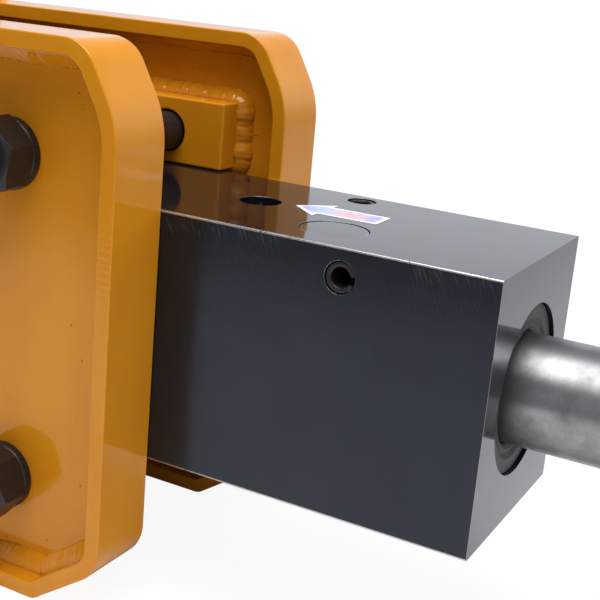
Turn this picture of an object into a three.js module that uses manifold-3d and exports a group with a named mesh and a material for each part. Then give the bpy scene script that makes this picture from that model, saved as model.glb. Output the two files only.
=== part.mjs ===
// A side-plate hydraulic breaker, lying on the lower edges of its two side plates.
// Millimetres. +X runs along the tool towards its point, +Y to the far plate, +Z up.
// The origin is on the ground, midway between the plates, under the plates' front edges.
import * as THREE from "three";
import { mergeVertices } from "three/addons/utils/BufferGeometryUtils.js";
import Module from "manifold-3d";

const wasm = await Module();
wasm.setup();

// ---- driving dimensions; heights are measured from the tool axis unless they say otherwise ----
const AXIS_HEIGHT = 260; // tool axis over the ground
const GAP = 0.3; // between neighbouring solids
const WELD_ROOM = 2.6; // round a welded hub
const ROUND = 20; // sides of a large round
const SMALL_ROUND = 12; // sides of a small round
const ARC_STEP = Math.PI / 14; // largest turn of one facet on a rounded plate corner

const BLOCK = { width: 216, height: 240, edge: 6 }; // section of head, cylinder and back head
const HEAD = { front: 318, rear: -200, edge: 2 };
const CYLINDER = { front: HEAD.rear - GAP, rear: -640 };
const BACK_HEAD = { front: CYLINDER.rear - GAP, rear: -850 };

const RIM = { inner: 108.3, outer: 179.5, bar: 15.5 }; // flat bar bent round each plate, across Y
const WEB = { inner: 137, outer: 148 }; // plate inside the rim, across Y
// Plate outline, anticlockwise seen from the near side: along X, height, corner radius.
const PLATE_CORNERS = [
  [0, -209, 40],
  [0, 201, 96],
  [-37, 267, 38],
  [-443, 267, 20],
  [-467, 385, 50],
  [-850, 385, 60],
  [-900, 330, 50],
  [-900, -190, 50],
  [-830, -260, 40],
  [-74, -260, 16],
];

const PIN_HUBS = { xs: [-528, -823], height: 298, outer: 56, bush: 42.5, bore: 32.5 };
const SIDE_BOLTS = { xs: [-138, -720], upper: 154.5, lower: -160, shank: 21, hole: 24, end: 204 };
const boltHeight = (up) => (up > 0 ? SIDE_BOLTS.upper : SIDE_BOLTS.lower);
const PAD = { length: 142, low: 120.6, high: 192, inner: 96 };
const COLLAR_NUT = { acrossFlats: 65, hex: 34, collar: 9, collarRadius: 33.5 };
const TIE_BOLTS = { y: 84, z: 96, shank: 15, hole: 15.6, threadEnd: -60, acrossFlats: 46, head: 24 };

const TOOL = { radius: 50, rear: -110, point: 900, coneStart: 752, tipRadius: 9 };
const ROD_PIN = { x: 144, y: -52, radius: 31, bottom: -118, top: 119.6 };
const ROD_PIN_LOCK = { x: 180, z: 94, radius: 14, inner: -34 }; // lies along Y from the near face
const BUSH_LOCK = { x: 107, y: 82, radius: 14, bottom: -60 }; // stands in the top face
const TOOL_TRAVEL = 45;
const LOWER_BUSH = { rear: 75, front: 302, outer: 77, bore: 50.6 };
const DUST_SEAL = { rear: 302.5, front: 314, bore: 50.9 };
const UPPER_BUSH = { rear: -185, step: -95, front: 30, outer: 75, bore: 50.6, chamber: 55 };
const GREASE_HOLE = { x: 39, radius: 20.5, floor: 92, passage: 4 };

const PISTON = { front: -157, rear: -620, nose: 49, land: 56, tail: 46, landFront: -330, landRear: -452 };
const PISTON_STROKE = 90;
const RETAINER = { rear: -262, outer: 70, bore: 49.5 };
const GAS_CHAMBER = { radius: 60, rear: -800 };

const VALVE = { rear: -560, front: -330, halfWidth: 75, bottom: -215, boreZ: -168, bore: 26 };
const VALVE_COVER = { thickness: 26, halfWidth: 62, low: -210, high: -126 };
const VALVE_SCREWS = { y: 47, z: 30, shank: 8, length: 70 };
const SPOOL = { rear: -548, front: -364, land: 25.5, waist: 18 };
const PORTS = { x: -300, ys: [-52, 52], radius: 13 };

// ---- materials ----
const finish = (color, roughness, metalness) =>
  new THREE.MeshStandardMaterial({ color, roughness, metalness });
const platePaint = finish(0xdf982c, 0.3, 0);
const blackPaint = finish(0x24272d, 0.3, 0.1);
const blackSteel = finish(0x1b1b1c, 0.45, 0.6);
const brightSteel = finish(0x8d8f92, 0.3, 1);
const toolSteel = finish(0x4a4b4d, 0.42, 0.9);
const bronze = finish(0xa9834a, 0.35, 0.9);
const sealRubber = finish(0x151515, 0.8, 0);
const zincPlate = finish(0xb9b6a8, 0.35, 0.9);

// ---- helpers ----
function solid(geometry) {
  const bare = geometry.index ? geometry.toNonIndexed() : geometry.clone();
  bare.deleteAttribute("normal");
  bare.deleteAttribute("uv");
  const merged = mergeVertices(bare, 1e-3);
  return new wasm.Manifold(
    new wasm.Mesh({
      numProp: 3,
      vertProperties: merged.getAttribute("position").array,
      triVerts: new Uint32Array(merged.index.array),
    }),
  );
}

function geometryOf(manifold) {
  const { vertProperties, triVerts } = manifold.getMesh();
  const geometry = new THREE.BufferGeometry();
  geometry.setAttribute("position", new THREE.BufferAttribute(vertProperties, 3));
  geometry.setIndex(new THREE.BufferAttribute(triVerts, 1));
  return geometry;
}

// A box between two opposite corners.
function block(low, high) {
  const [dx, dy, dz] = low.map((value, i) => high[i] - value);
  return new THREE.BoxGeometry(dx, dy, dz).translate(low[0] + dx / 2, low[1] + dy / 2, low[2] + dz / 2);
}

// A turned body on the Y axis from [radius, y] points that run from its low end to its high end.
function turnedY(profile, sides = ROUND) {
  return new THREE.LatheGeometry(profile.map(([r, y]) => new THREE.Vector2(r, y)), sides);
}

function turnedX(profile, sides = ROUND) {
  return turnedY(profile, sides).rotateZ(-Math.PI / 2);
}

function turnedZ(profile, sides = ROUND) {
  return turnedY(profile, sides).rotateX(Math.PI / 2);
}

// Closed profiles: a rod, and a ring that closes on itself.
const rod = (radius, low, high) => [[0, low], [radius, low], [radius, high], [0, high]];
const ring = (bore, outer, low, high) => [
  [bore, low], [outer, low], [outer, high], [bore, high], [bore, low],
];
const bevelledRod = (radius, low, high, bevel) => [
  [0, low], [radius - bevel, low], [radius, low + bevel],
  [radius, high - bevel], [radius - bevel, high], [0, high],
];

// Drills for the three directions.
const drillX = (radius, low, high, y = 0, z = 0, sides = ROUND) =>
  solid(turnedX(rod(radius, low, high), sides).translate(0, y, z));
const drillY = (radius, low, high, x, z) => solid(turnedY(rod(radius, low, high)).translate(x, 0, z));
const drillZ = (radius, low, high, x, y) => solid(turnedZ(rod(radius, low, high)).translate(x, y, 0));

const cut = (body, tools) => tools.reduce((left, tool) => left.subtract(tool), body);

// The plate's outline moved inwards by inset, with arcs at its corners.
function plateOutline(inset) {
  const corners = PLATE_CORNERS.map(([x, z, radius]) => ({ at: new THREE.Vector2(x, z), radius }));
  const count = corners.length;
  const points = [];
  corners.forEach(({ at, radius }, i) => {
    const before = at.clone().sub(corners[(i + count - 1) % count].at).normalize();
    const after = corners[(i + 1) % count].at.clone().sub(at).normalize();
    const turn = Math.atan2(before.cross(after), before.dot(after)); // positive at an outward corner
    const inward = new THREE.Vector2(-before.y, before.x);
    const inwardAfter = new THREE.Vector2(-after.y, after.x);
    const bisector = inward.clone().add(inwardAfter).normalize();
    const corner = at.clone().addScaledVector(bisector, inset / Math.cos(turn / 2));
    const bend = Math.max(radius - Math.sign(turn) * inset, 3) * Math.sign(turn);
    const centre = corner.clone().addScaledVector(bisector, bend / Math.cos(turn / 2));
    const start = Math.atan2(-inward.y * bend, -inward.x * bend);
    const steps = Math.max(2, Math.ceil(Math.abs(turn) / ARC_STEP));
    for (let k = 0; k <= steps; k++) {
      const angle = start + (turn * k) / steps;
      const spoke = new THREE.Vector2(Math.cos(angle), Math.sin(angle));
      points.push(spoke.multiplyScalar(Math.abs(bend)).add(centre));
    }
  });
  return points;
}

const circleHole = (x, z, radius) => new THREE.Path().absarc(x, z, radius, 0, 2 * Math.PI, true);

// Extrudes a shape drawn in X and height across Y, between two distances from the middle on one side.
function acrossPlates(shape, inner, outer, side) {
  const depth = outer - inner;
  const geometry = new THREE.ExtrudeGeometry(shape, { depth, bevelEnabled: false, curveSegments: 6 });
  return geometry.rotateX(Math.PI / 2).translate(0, side > 0 ? outer : -inner, 0);
}

function hexPrism(acrossFlats, low, high) {
  const radius = acrossFlats / Math.sqrt(3);
  const prism = new THREE.CylinderGeometry(radius, radius, high - low, 6);
  return prism.rotateY(Math.PI / 2).translate(0, (low + high) / 2, 0);
}

// A hexagon with its corners turned down at the high end.
function turnedDownHex(acrossFlats, low, high) {
  const corner = acrossFlats / Math.sqrt(3);
  const flat = acrossFlats / 2;
  const dressing = [[0, low], [corner + 1, low], [corner + 1, high - 5], [flat * 0.96, high], [0, high]];
  return solid(hexPrism(acrossFlats, low, high)).intersect(solid(turnedY(dressing, SMALL_ROUND)));
}

// ---- side plates ----
function rim(side) {
  const shape = new THREE.Shape(plateOutline(0));
  shape.holes.push(new THREE.Path(plateOutline(RIM.bar)));
  return acrossPlates(shape, RIM.inner, RIM.outer, side);
}

function web(side) {
  const shape = new THREE.Shape(plateOutline(RIM.bar + GAP));
  for (const x of SIDE_BOLTS.xs)
    for (const up of [-1, 1]) shape.holes.push(circleHole(x, boltHeight(up), SIDE_BOLTS.hole));
  for (const x of PIN_HUBS.xs) shape.holes.push(circleHole(x, PIN_HUBS.height, PIN_HUBS.outer + WELD_ROOM));
  return acrossPlates(shape, WEB.inner, WEB.outer, side);
}

// Thick pad welded inside the web round a side bolt; its inner face laps the block's top or bottom face.
function pad(x, up, side) {
  const half = PAD.length / 2;
  const [low, high] = up > 0 ? [PAD.low, PAD.high] : [-PAD.high, -PAD.low];
  const shape = new THREE.Shape([
    new THREE.Vector2(x - half, low),
    new THREE.Vector2(x + half, low),
    new THREE.Vector2(x + half, high),
    new THREE.Vector2(x - half, high),
  ]);
  shape.holes.push(circleHole(x, boltHeight(up), SIDE_BOLTS.hole));
  return acrossPlates(shape, PAD.inner, WEB.inner - GAP, side);
}

function pinHub() {
  const bevel = 3;
  return turnedY([
    [PIN_HUBS.bush + GAP, RIM.inner],
    [PIN_HUBS.outer - bevel, RIM.inner],
    [PIN_HUBS.outer, RIM.inner + bevel],
    [PIN_HUBS.outer, RIM.outer - bevel],
    [PIN_HUBS.outer - bevel, RIM.outer],
    [PIN_HUBS.bush + GAP, RIM.outer],
    [PIN_HUBS.bush + GAP, RIM.inner],
  ]);
}

const pinBush = () => turnedY(ring(PIN_HUBS.bore, PIN_HUBS.bush, RIM.inner + 1, RIM.outer - 1));

const sideStud = () =>
  turnedY(bevelledRod(SIDE_BOLTS.shank, -SIDE_BOLTS.end, SIDE_BOLTS.end, 3), SMALL_ROUND);

// Hexagon nut with a round collar on its seat, standing on +Y of the plate.
function collarNut() {
  const seat = WEB.outer + GAP;
  const hexLow = seat + COLLAR_NUT.collar;
  const r = COLLAR_NUT.collarRadius;
  const collar = [[0, seat], [r, seat], [r, hexLow - 2], [r - 3, hexLow + 1], [0, hexLow + 1]];
  const top = hexLow + COLLAR_NUT.hex;
  const body = turnedDownHex(COLLAR_NUT.acrossFlats, hexLow, top).add(solid(turnedY(collar)));
  return geometryOf(body.subtract(drillY(SIDE_BOLTS.shank + 2 * GAP, seat - 1, top + 1, 0, 0)));
}

// ---- the impact body ----
// Rectangular body with its four long edges bevelled.
function longBlock(rear, front, edge = BLOCK.edge) {
  const y = BLOCK.width / 2;
  const z = BLOCK.height / 2;
  const section = new THREE.Shape([
    new THREE.Vector2(-y + edge, -z),
    new THREE.Vector2(y - edge, -z),
    new THREE.Vector2(y, -z + edge),
    new THREE.Vector2(y, z - edge),
    new THREE.Vector2(y - edge, z),
    new THREE.Vector2(-y + edge, z),
    new THREE.Vector2(-y, z - edge),
    new THREE.Vector2(-y, -z + edge),
  ]);
  const geometry = new THREE.ExtrudeGeometry(section, { depth: front - rear, bevelEnabled: false });
  geometry.rotateX(Math.PI / 2).rotateZ(Math.PI / 2);
  return solid(geometry.translate(rear, 0, 0));
}

// The four corners of a rectangle round a centre height, as [y, z].
const fourCorners = (y, z, centre = 0) => [-1, 1].flatMap((a) => [-1, 1].map((b) => [a * y, centre + b * z]));
const tieBoltPlaces = fourCorners(TIE_BOLTS.y, TIE_BOLTS.z);
const tieBoltHoles = (rear, front) =>
  tieBoltPlaces.map(([y, z]) => drillX(TIE_BOLTS.hole, rear, front, y, z, SMALL_ROUND));

function frontHead() {
  const past = 1;
  const side = BLOCK.width / 2;
  const top = BLOCK.height / 2;
  const tools = [
    drillX(LOWER_BUSH.outer + GAP, LOWER_BUSH.rear - GAP, HEAD.front + past),
    drillX(UPPER_BUSH.chamber + 1, UPPER_BUSH.front - 1, LOWER_BUSH.rear + 1),
    drillX(UPPER_BUSH.outer + GAP, HEAD.rear - past, UPPER_BUSH.front + GAP),
    drillZ(ROD_PIN.radius + 0.5, -top - past, top + past, ROD_PIN.x, ROD_PIN.y),
    drillY(ROD_PIN_LOCK.radius + 0.5, -side - past, ROD_PIN_LOCK.inner, ROD_PIN_LOCK.x, ROD_PIN_LOCK.z),
    drillZ(BUSH_LOCK.radius + 0.5, BUSH_LOCK.bottom - GAP, top + past, BUSH_LOCK.x, BUSH_LOCK.y),
    drillZ(GREASE_HOLE.radius, GREASE_HOLE.floor, top + past, GREASE_HOLE.x, 0),
    drillZ(GREASE_HOLE.passage, 0, GREASE_HOLE.floor + 1, GREASE_HOLE.x, 0),
    ...tieBoltHoles(HEAD.rear - past, TIE_BOLTS.threadEnd),
  ];
  return geometryOf(cut(longBlock(HEAD.rear, HEAD.front, HEAD.edge), tools));
}

// Lugs on both sides of the cylinder bear on the webs, so the side bolts clamp the body.
function cylinder() {
  const past = 1;
  const lugs = [-1, 1].map((side) => {
    const [low, high] = side > 0 ? [90, WEB.inner - GAP] : [-WEB.inner + GAP, -90];
    return solid(block([-570, low, -62], [-310, high, 62]));
  });
  const body = lugs.reduce((whole, lug) => whole.add(lug), longBlock(CYLINDER.rear, CYLINDER.front));
  const top = BLOCK.height / 2;
  const tools = [
    drillX(RETAINER.outer + GAP, RETAINER.rear - GAP, CYLINDER.front + past),
    drillX(PISTON.land + GAP, PISTON.landRear - PISTON_STROKE - 8, RETAINER.rear),
    drillX(PISTON.tail + GAP, CYLINDER.rear - past, PISTON.landRear - PISTON_STROKE),
    ...PORTS.ys.map((y) => drillZ(PORTS.radius + GAP, top - 16, top + past, PORTS.x, y)),
    ...tieBoltHoles(CYLINDER.rear - past, CYLINDER.front + past),
  ];
  return geometryOf(cut(body, tools));
}

function backHead() {
  const past = 1;
  const tools = [
    drillX(GAS_CHAMBER.radius, GAS_CHAMBER.rear, BACK_HEAD.front + past),
    drillX(10, BACK_HEAD.rear - past, GAS_CHAMBER.rear + 1),
    ...tieBoltHoles(BACK_HEAD.rear - past, BACK_HEAD.front + past),
  ];
  return geometryOf(cut(longBlock(BACK_HEAD.rear, BACK_HEAD.front), tools));
}

// Long bolt through back head and cylinder into the front head; its head bears on the back head.
function tieBolt() {
  const seat = BACK_HEAD.rear - GAP;
  const head = turnedDownHex(TIE_BOLTS.acrossFlats, 0, TIE_BOLTS.head);
  const shank = turnedX(bevelledRod(TIE_BOLTS.shank, seat - 1, TIE_BOLTS.threadEnd - 2, 2), SMALL_ROUND);
  return geometryOf(solid(geometryOf(head).rotateZ(Math.PI / 2).translate(seat, 0, 0)).add(solid(shank)));
}

// ---- the tool and what holds it ----
// Moil-point tool; the flat on its near side lets it slide past the rod pin.
function chisel() {
  const { radius, rear, point, coneStart, tipRadius } = TOOL;
  const body = solid(turnedX([
    [0, rear], [radius - 6, rear], [radius, rear + 6], [radius, coneStart],
    [tipRadius + 3, point - 8], [tipRadius - 2, point], [0, point],
  ]));
  const flat = ROD_PIN.y + ROD_PIN.radius + 0.8;
  const low = [ROD_PIN.x - ROD_PIN.radius - 1.5, -radius - 5, -radius - 5];
  const high = [ROD_PIN.x + ROD_PIN.radius + TOOL_TRAVEL + 1.5, flat, radius + 5];
  return geometryOf(body.subtract(solid(block(low, high))));
}

function lowerBush() {
  const { rear, front, outer, bore } = LOWER_BUSH;
  return geometryOf(cut(solid(turnedX(ring(bore, outer, rear, front))), [
    drillZ(ROD_PIN.radius + 0.8, -outer - 5, outer + 5, ROD_PIN.x, ROD_PIN.y),
    drillZ(BUSH_LOCK.radius + 0.8, -outer - 5, outer + 5, BUSH_LOCK.x, BUSH_LOCK.y),
  ]));
}

const dustSeal = () => turnedX(ring(DUST_SEAL.bore, LOWER_BUSH.outer, DUST_SEAL.rear, DUST_SEAL.front));

function upperBush() {
  const { rear, step, front, outer, bore, chamber } = UPPER_BUSH;
  return turnedX([
    [chamber, rear], [outer, rear], [outer, front], [bore, front],
    [bore, step], [chamber, step], [chamber, rear],
  ]);
}

// Cross pin that catches the tool's flat; a groove takes its own lock pin.
function rodPin() {
  const body = solid(turnedZ(bevelledRod(ROD_PIN.radius, ROD_PIN.bottom, ROD_PIN.top, 1.5)));
  const reach = ROD_PIN.radius + 5;
  const ahead = ROD_PIN_LOCK.x - ROD_PIN.x;
  const groove = drillY(ROD_PIN_LOCK.radius + 0.6, -reach, reach, ahead, ROD_PIN_LOCK.z);
  return geometryOf(body.subtract(groove));
}

// Spring pin: a rolled tube with a slot along it, standing on +Y from low to high; the slot faces angle.
function springPin(radius, low, high, angle) {
  const tube = turnedY(ring(radius - 6, radius, low, high), SMALL_ROUND);
  const slot = block([0, low - 1, -3], [radius + 2, high + 1, 3]).rotateY(angle);
  return solid(tube).subtract(solid(slot));
}

function rodPinLock() {
  const near = -BLOCK.width / 2 + 1;
  return geometryOf(springPin(ROD_PIN_LOCK.radius, near, ROD_PIN_LOCK.inner - 2, 0));
}

function bushLock() {
  const top = BLOCK.height / 2 - 1;
  return geometryOf(springPin(BUSH_LOCK.radius, BUSH_LOCK.bottom + 1, top, Math.PI)).rotateX(Math.PI / 2);
}

function greaseNipple() {
  const low = GREASE_HOLE.floor + GAP;
  return turnedZ([
    [0, low], [7.5, low], [7.5, low + 6], [3.5, low + 8],
    [3.5, low + 11], [5, low + 13], [3, low + 17], [0, low + 17],
  ], SMALL_ROUND);
}

// ---- piston, seals and gas end ----
function piston() {
  const { front, rear, nose, land, tail, landFront, landRear } = PISTON;
  const groove = 10;
  const middle = (landFront + landRear) / 2;
  return turnedX([
    [0, rear], [tail - 3, rear], [tail, rear + 3], [tail, landRear],
    [land, landRear], [land, middle - groove],
    [land - 4, middle - groove], [land - 4, middle + groove], [land, middle + groove], [land, landFront],
    [nose, landFront], [nose, front - 4], [nose - 4, front], [0, front],
  ]);
}

const sealRetainer = () =>
  turnedX(ring(RETAINER.bore, RETAINER.outer, RETAINER.rear, CYLINDER.front - GAP));

function gasValve() {
  const seat = BACK_HEAD.rear - GAP;
  return turnedX([
    [0, seat - 24], [8, seat - 24], [8, seat - 12], [15, seat - 12],
    [15, seat], [9.5, seat], [9.5, seat + 18], [0, seat + 18],
  ], SMALL_ROUND);
}

// ---- main valve under the cylinder, and the two hose ports on top ----
const valveScrewPlaces = fourCorners(VALVE_SCREWS.y, VALVE_SCREWS.z, VALVE.boreZ);
const valveScrewHoles = () => {
  const from = VALVE.rear - VALVE_COVER.thickness - 2;
  const to = from + VALVE_SCREWS.length + 6;
  return valveScrewPlaces.map(([y, z]) => drillX(VALVE_SCREWS.shank + GAP, from, to, y, z, SMALL_ROUND));
};

function valveChest() {
  const top = -BLOCK.height / 2 - GAP;
  const { rear, front, halfWidth, bottom } = VALVE;
  const body = solid(block([rear, -halfWidth, bottom], [front, halfWidth, top]));
  const bore = drillX(VALVE.bore, rear - 1, front - 20, 0, VALVE.boreZ);
  return geometryOf(cut(body, [bore, ...valveScrewHoles()]));
}

function valveCover() {
  const { thickness, halfWidth, low, high } = VALVE_COVER;
  const face = VALVE.rear - GAP;
  const body = solid(block([face - thickness, -halfWidth, low], [face, halfWidth, high]));
  return geometryOf(cut(body, valveScrewHoles()));
}

function valveSpool() {
  const { rear, front, land, waist } = SPOOL;
  const step = (front - rear) / 5;
  return turnedX([
    [0, rear], [land, rear], [land, rear + step], [waist, rear + step], [waist, rear + 2 * step],
    [land, rear + 2 * step], [land, rear + 3 * step],
    [waist, rear + 3 * step], [waist, rear + 4 * step], [land, rear + 4 * step], [land, front], [0, front],
  ], SMALL_ROUND).translate(0, 0, VALVE.boreZ);
}

function valveScrew() {
  const seat = VALVE.rear - GAP - VALVE_COVER.thickness - GAP;
  const tip = seat + VALVE_SCREWS.length;
  const head = 13;
  const body = solid(turnedX([
    [0, seat - 16], [head - 1.5, seat - 16], [head, seat - 14.5], [head, seat],
    [VALVE_SCREWS.shank, seat], [VALVE_SCREWS.shank, tip], [0, tip],
  ], SMALL_ROUND));
  const socket = solid(hexPrism(14, -17, -8).rotateZ(-Math.PI / 2).translate(seat, 0, 0));
  return geometryOf(body.subtract(socket));
}

function portAdapter() {
  const face = BLOCK.height / 2;
  const hex = solid(hexPrism(46, face + GAP, face + 22).rotateX(Math.PI / 2));
  const core = solid(turnedZ([
    [0, face - 14], [PORTS.radius, face - 14], [PORTS.radius, face + 2], [16, face + 2],
    [16, face + 30], [19, face + 32], [19, face + 54], [15, face + 57], [0, face + 57],
  ], SMALL_ROUND));
  return geometryOf(hex.add(core));
}

// ---- the assembly ----
const breaker = new THREE.Group();
const body = new THREE.Group();
body.position.z = AXIS_HEIGHT;
breaker.add(body);

function place(name, geometry, material, x = 0, y = 0, z = 0) {
  const mesh = new THREE.Mesh(geometry, material);
  mesh.name = name;
  mesh.position.set(x, y, z);
  body.add(mesh);
}

const nearFar = (side) => (side < 0 ? "near" : "far");
const level = (up) => (up > 0 ? "upper" : "lower");
const end = (i) => (i === 0 ? "front" : "rear");

for (const side of [-1, 1]) {
  const sideName = nearFar(side);
  place(`${sideName}_plate_rim`, rim(side), platePaint);
  place(`${sideName}_plate_web`, web(side), platePaint);
  const turnToSide = (geometry) => (side > 0 ? geometry : geometry.rotateZ(Math.PI));
  SIDE_BOLTS.xs.forEach((x, i) => {
    for (const up of [-1, 1]) {
      const spot = `${end(i)}_${level(up)}`;
      place(`${sideName}_bolt_pad_${spot}`, pad(x, up, side), platePaint);
      const nut = turnToSide(collarNut());
      place(`${sideName}_side_nut_${spot}`, nut, blackSteel, x, 0, boltHeight(up));
    }
  });
  PIN_HUBS.xs.forEach((x, i) => {
    place(`${sideName}_pin_hub_${end(i)}`, turnToSide(pinHub()), platePaint, x, 0, PIN_HUBS.height);
    place(`${sideName}_pin_bush_${end(i)}`, turnToSide(pinBush()), bronze, x, 0, PIN_HUBS.height);
  });
}

SIDE_BOLTS.xs.forEach((x, i) => {
  for (const up of [-1, 1])
    place(`side_stud_${end(i)}_${level(up)}`, sideStud(), blackSteel, x, 0, boltHeight(up));
});

place("front_head", frontHead(), blackPaint);
place("cylinder", cylinder(), blackPaint);
place("back_head", backHead(), blackPaint);
for (const [y, z] of tieBoltPlaces)
  place(`tie_bolt_${nearFar(y)}_${level(z)}`, tieBolt(), blackSteel, 0, y, z);

place("chisel", chisel(), toolSteel);
place("lower_bush", lowerBush(), bronze);
place("dust_seal", dustSeal(), sealRubber);
place("upper_bush", upperBush(), bronze);
place("rod_pin", rodPin(), blackSteel, ROD_PIN.x, ROD_PIN.y);
place("rod_pin_lock", rodPinLock(), blackSteel, ROD_PIN_LOCK.x, 0, ROD_PIN_LOCK.z);
place("bush_lock", bushLock(), blackSteel, BUSH_LOCK.x, BUSH_LOCK.y);
place("grease_nipple", greaseNipple(), zincPlate, GREASE_HOLE.x);

place("piston", piston(), brightSteel);
place("seal_retainer", sealRetainer(), bronze);
place("gas_valve", gasValve(), zincPlate);

place("valve_chest", valveChest(), blackPaint);
place("valve_cover", valveCover(), blackPaint);
place("valve_spool", valveSpool(), brightSteel);
for (const [y, z] of valveScrewPlaces)
  place(`valve_screw_${nearFar(y)}_${level(z - VALVE.boreZ)}`, valveScrew(), blackSteel, 0, y, z);
for (const y of PORTS.ys) place(`${nearFar(y)}_port_adapter`, portAdapter(), zincPlate, PORTS.x, y);

export default breaker;
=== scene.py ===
import math

import bmesh
import bpy
from mathutils import Matrix, Vector


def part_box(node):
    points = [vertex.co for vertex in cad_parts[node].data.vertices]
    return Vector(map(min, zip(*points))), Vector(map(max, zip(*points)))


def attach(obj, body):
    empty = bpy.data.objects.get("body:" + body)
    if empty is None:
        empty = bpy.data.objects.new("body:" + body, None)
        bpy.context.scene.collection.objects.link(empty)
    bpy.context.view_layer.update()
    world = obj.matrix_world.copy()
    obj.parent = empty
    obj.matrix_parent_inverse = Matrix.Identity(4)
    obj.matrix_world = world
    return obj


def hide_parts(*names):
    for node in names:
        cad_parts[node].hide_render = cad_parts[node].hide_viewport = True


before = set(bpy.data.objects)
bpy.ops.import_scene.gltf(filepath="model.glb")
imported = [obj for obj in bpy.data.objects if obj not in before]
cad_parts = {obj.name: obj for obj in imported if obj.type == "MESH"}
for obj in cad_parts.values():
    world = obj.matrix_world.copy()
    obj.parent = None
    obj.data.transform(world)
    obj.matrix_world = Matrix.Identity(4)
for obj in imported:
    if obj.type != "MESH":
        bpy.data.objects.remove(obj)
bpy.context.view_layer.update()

# ---- Studio ----
# The breaker lies on the lower edges of its side plates on a white floor. A large softbox
# hangs over it, and white walls all round give its gloss something pale to reflect. Far out on
# the near side the floor is painted dark: painted shade that only reflections and bounce light see.
scene = bpy.context.scene
scene.view_settings.view_transform = "Standard"

lens = bpy.data.cameras.new("camera")
lens.sensor_width = 36.0
lens.lens = 70.229
lens.shift_x = 0.0134
lens.shift_y = -0.0436
camera = bpy.data.objects.new("camera", lens)
heading, tilt, roll = (math.radians(angle) for angle in (27.33, 75.05, 5.0))
camera.matrix_world = (
    Matrix.Translation((0.57291, -0.95505, 0.60306))
    @ Matrix.Rotation(heading, 4, "Z")
    @ Matrix.Rotation(tilt, 4, "X")
    @ Matrix.Rotation(roll, 4, "Z")
)
scene.collection.objects.link(camera)
scene.camera = camera


def wire(tree, kind, inputs=None, **settings):
    """Adds a node. Each input is given a value or another node's output."""
    made = tree.nodes.new(kind)
    for name, value in settings.items():
        setattr(made, name, value)
    for name, value in (inputs or {}).items():
        if isinstance(value, bpy.types.NodeSocket):
            tree.links.new(value, made.inputs[name])
        else:
            made.inputs[name].default_value = value
    return made


def maths(tree, operation, *values, **settings):
    """The output of a Math node."""
    made = wire(tree, "ShaderNodeMath", dict(enumerate(values)), operation=operation, **settings)
    return made.outputs[0]


def new_material(name, **values):
    """A material with only its Principled shader, and that shader's uniform values."""
    material = bpy.data.materials.new(name)
    material.use_nodes = True
    shader = material.node_tree.nodes["Principled BSDF"]
    for label, value in values.items():
        shader.inputs[label.replace("_", " ")].default_value = value
    return material, material.node_tree, shader


def spread(tree, value, low, high, to_low=0.0, to_high=1.0):
    """A value stretched from one range to another and held inside it."""
    made = wire(tree, "ShaderNodeMapRange", {"Value": value, "From Min": low, "From Max": high})
    for label, end in (("To Min", to_low), ("To Max", to_high)):
        if isinstance(end, bpy.types.NodeSocket):
            tree.links.new(end, made.inputs[label])
        else:
            made.inputs[label].default_value = end
    return made.outputs[0]


def own_place(tree):
    """A point's place on the object, whose origin is the floor under its middle."""
    return wire(tree, "ShaderNodeTexCoord").outputs["Object"]


def noise(tree, at, scale, detail, roughness=0.5):
    """Cloudy noise, from 0 to 1."""
    inputs = {"Vector": at, "Scale": scale, "Detail": detail, "Roughness": roughness}
    return wire(tree, "ShaderNodeTexNoise", inputs).outputs[0]


def seen_by_camera(tree, share, cast, shown):
    """A shader for all rays, and another that a share of the camera's rays see instead."""
    sight = wire(tree, "ShaderNodeLightPath").outputs["Is Camera Ray"]
    factor = maths(tree, "MULTIPLY", sight, share)
    mixed = wire(tree, "ShaderNodeMixShader", {0: factor, 1: cast.outputs[0], 2: shown.outputs[0]})
    return mixed.outputs[0]


white = (1.0, 1.0, 1.0, 1.0)
world = bpy.data.worlds.new("white_walls")
world.use_nodes = True
walls = world.node_tree
walls.nodes.clear()
backdrop = wire(walls, "ShaderNodeBackground", {"Color": white, "Strength": 1.05})
facing = wire(walls, "ShaderNodeSeparateXYZ", {0: own_place(walls)})
overhead = spread(walls, facing.outputs[2], 0.30, 0.62, 1.18, 0.42)
far_side = spread(walls, facing.outputs[1], -0.35, 0.25, 0.50, 1.0)
horizon = spread(walls, facing.outputs[2], 0.0, 0.15, 0.5, 1.0)
strength = maths(walls, "MULTIPLY", maths(walls, "MULTIPLY", overhead, far_side), horizon)
cool_white = (0.92, 0.94, 1.0, 1.0)
cast = wire(walls, "ShaderNodeBackground", {"Color": cool_white, "Strength": strength})
wire(walls, "ShaderNodeOutputWorld", {"Surface": seen_by_camera(walls, 1.0, cast, backdrop)})
scene.world = world


def softbox(name, place, size, power):
    """A square area light that faces the middle of the breaker."""
    light = bpy.data.lights.new(name, "AREA")
    light.shape = "SQUARE"
    light.size = size
    light.energy = power
    lamp = bpy.data.objects.new(name, light)
    breaker_middle = Vector((0.0, 0.0, 0.25))
    aim = (breaker_middle - Vector(place)).to_track_quat("-Z", "Y")
    lamp.matrix_world = Matrix.Translation(place) @ aim.to_matrix().to_4x4()
    lamp.visible_camera = False
    scene.collection.objects.link(lamp)


softbox("overhead_softbox", place=(0.35, -0.65, 3.1), size=2.4, power=112.0)

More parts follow.
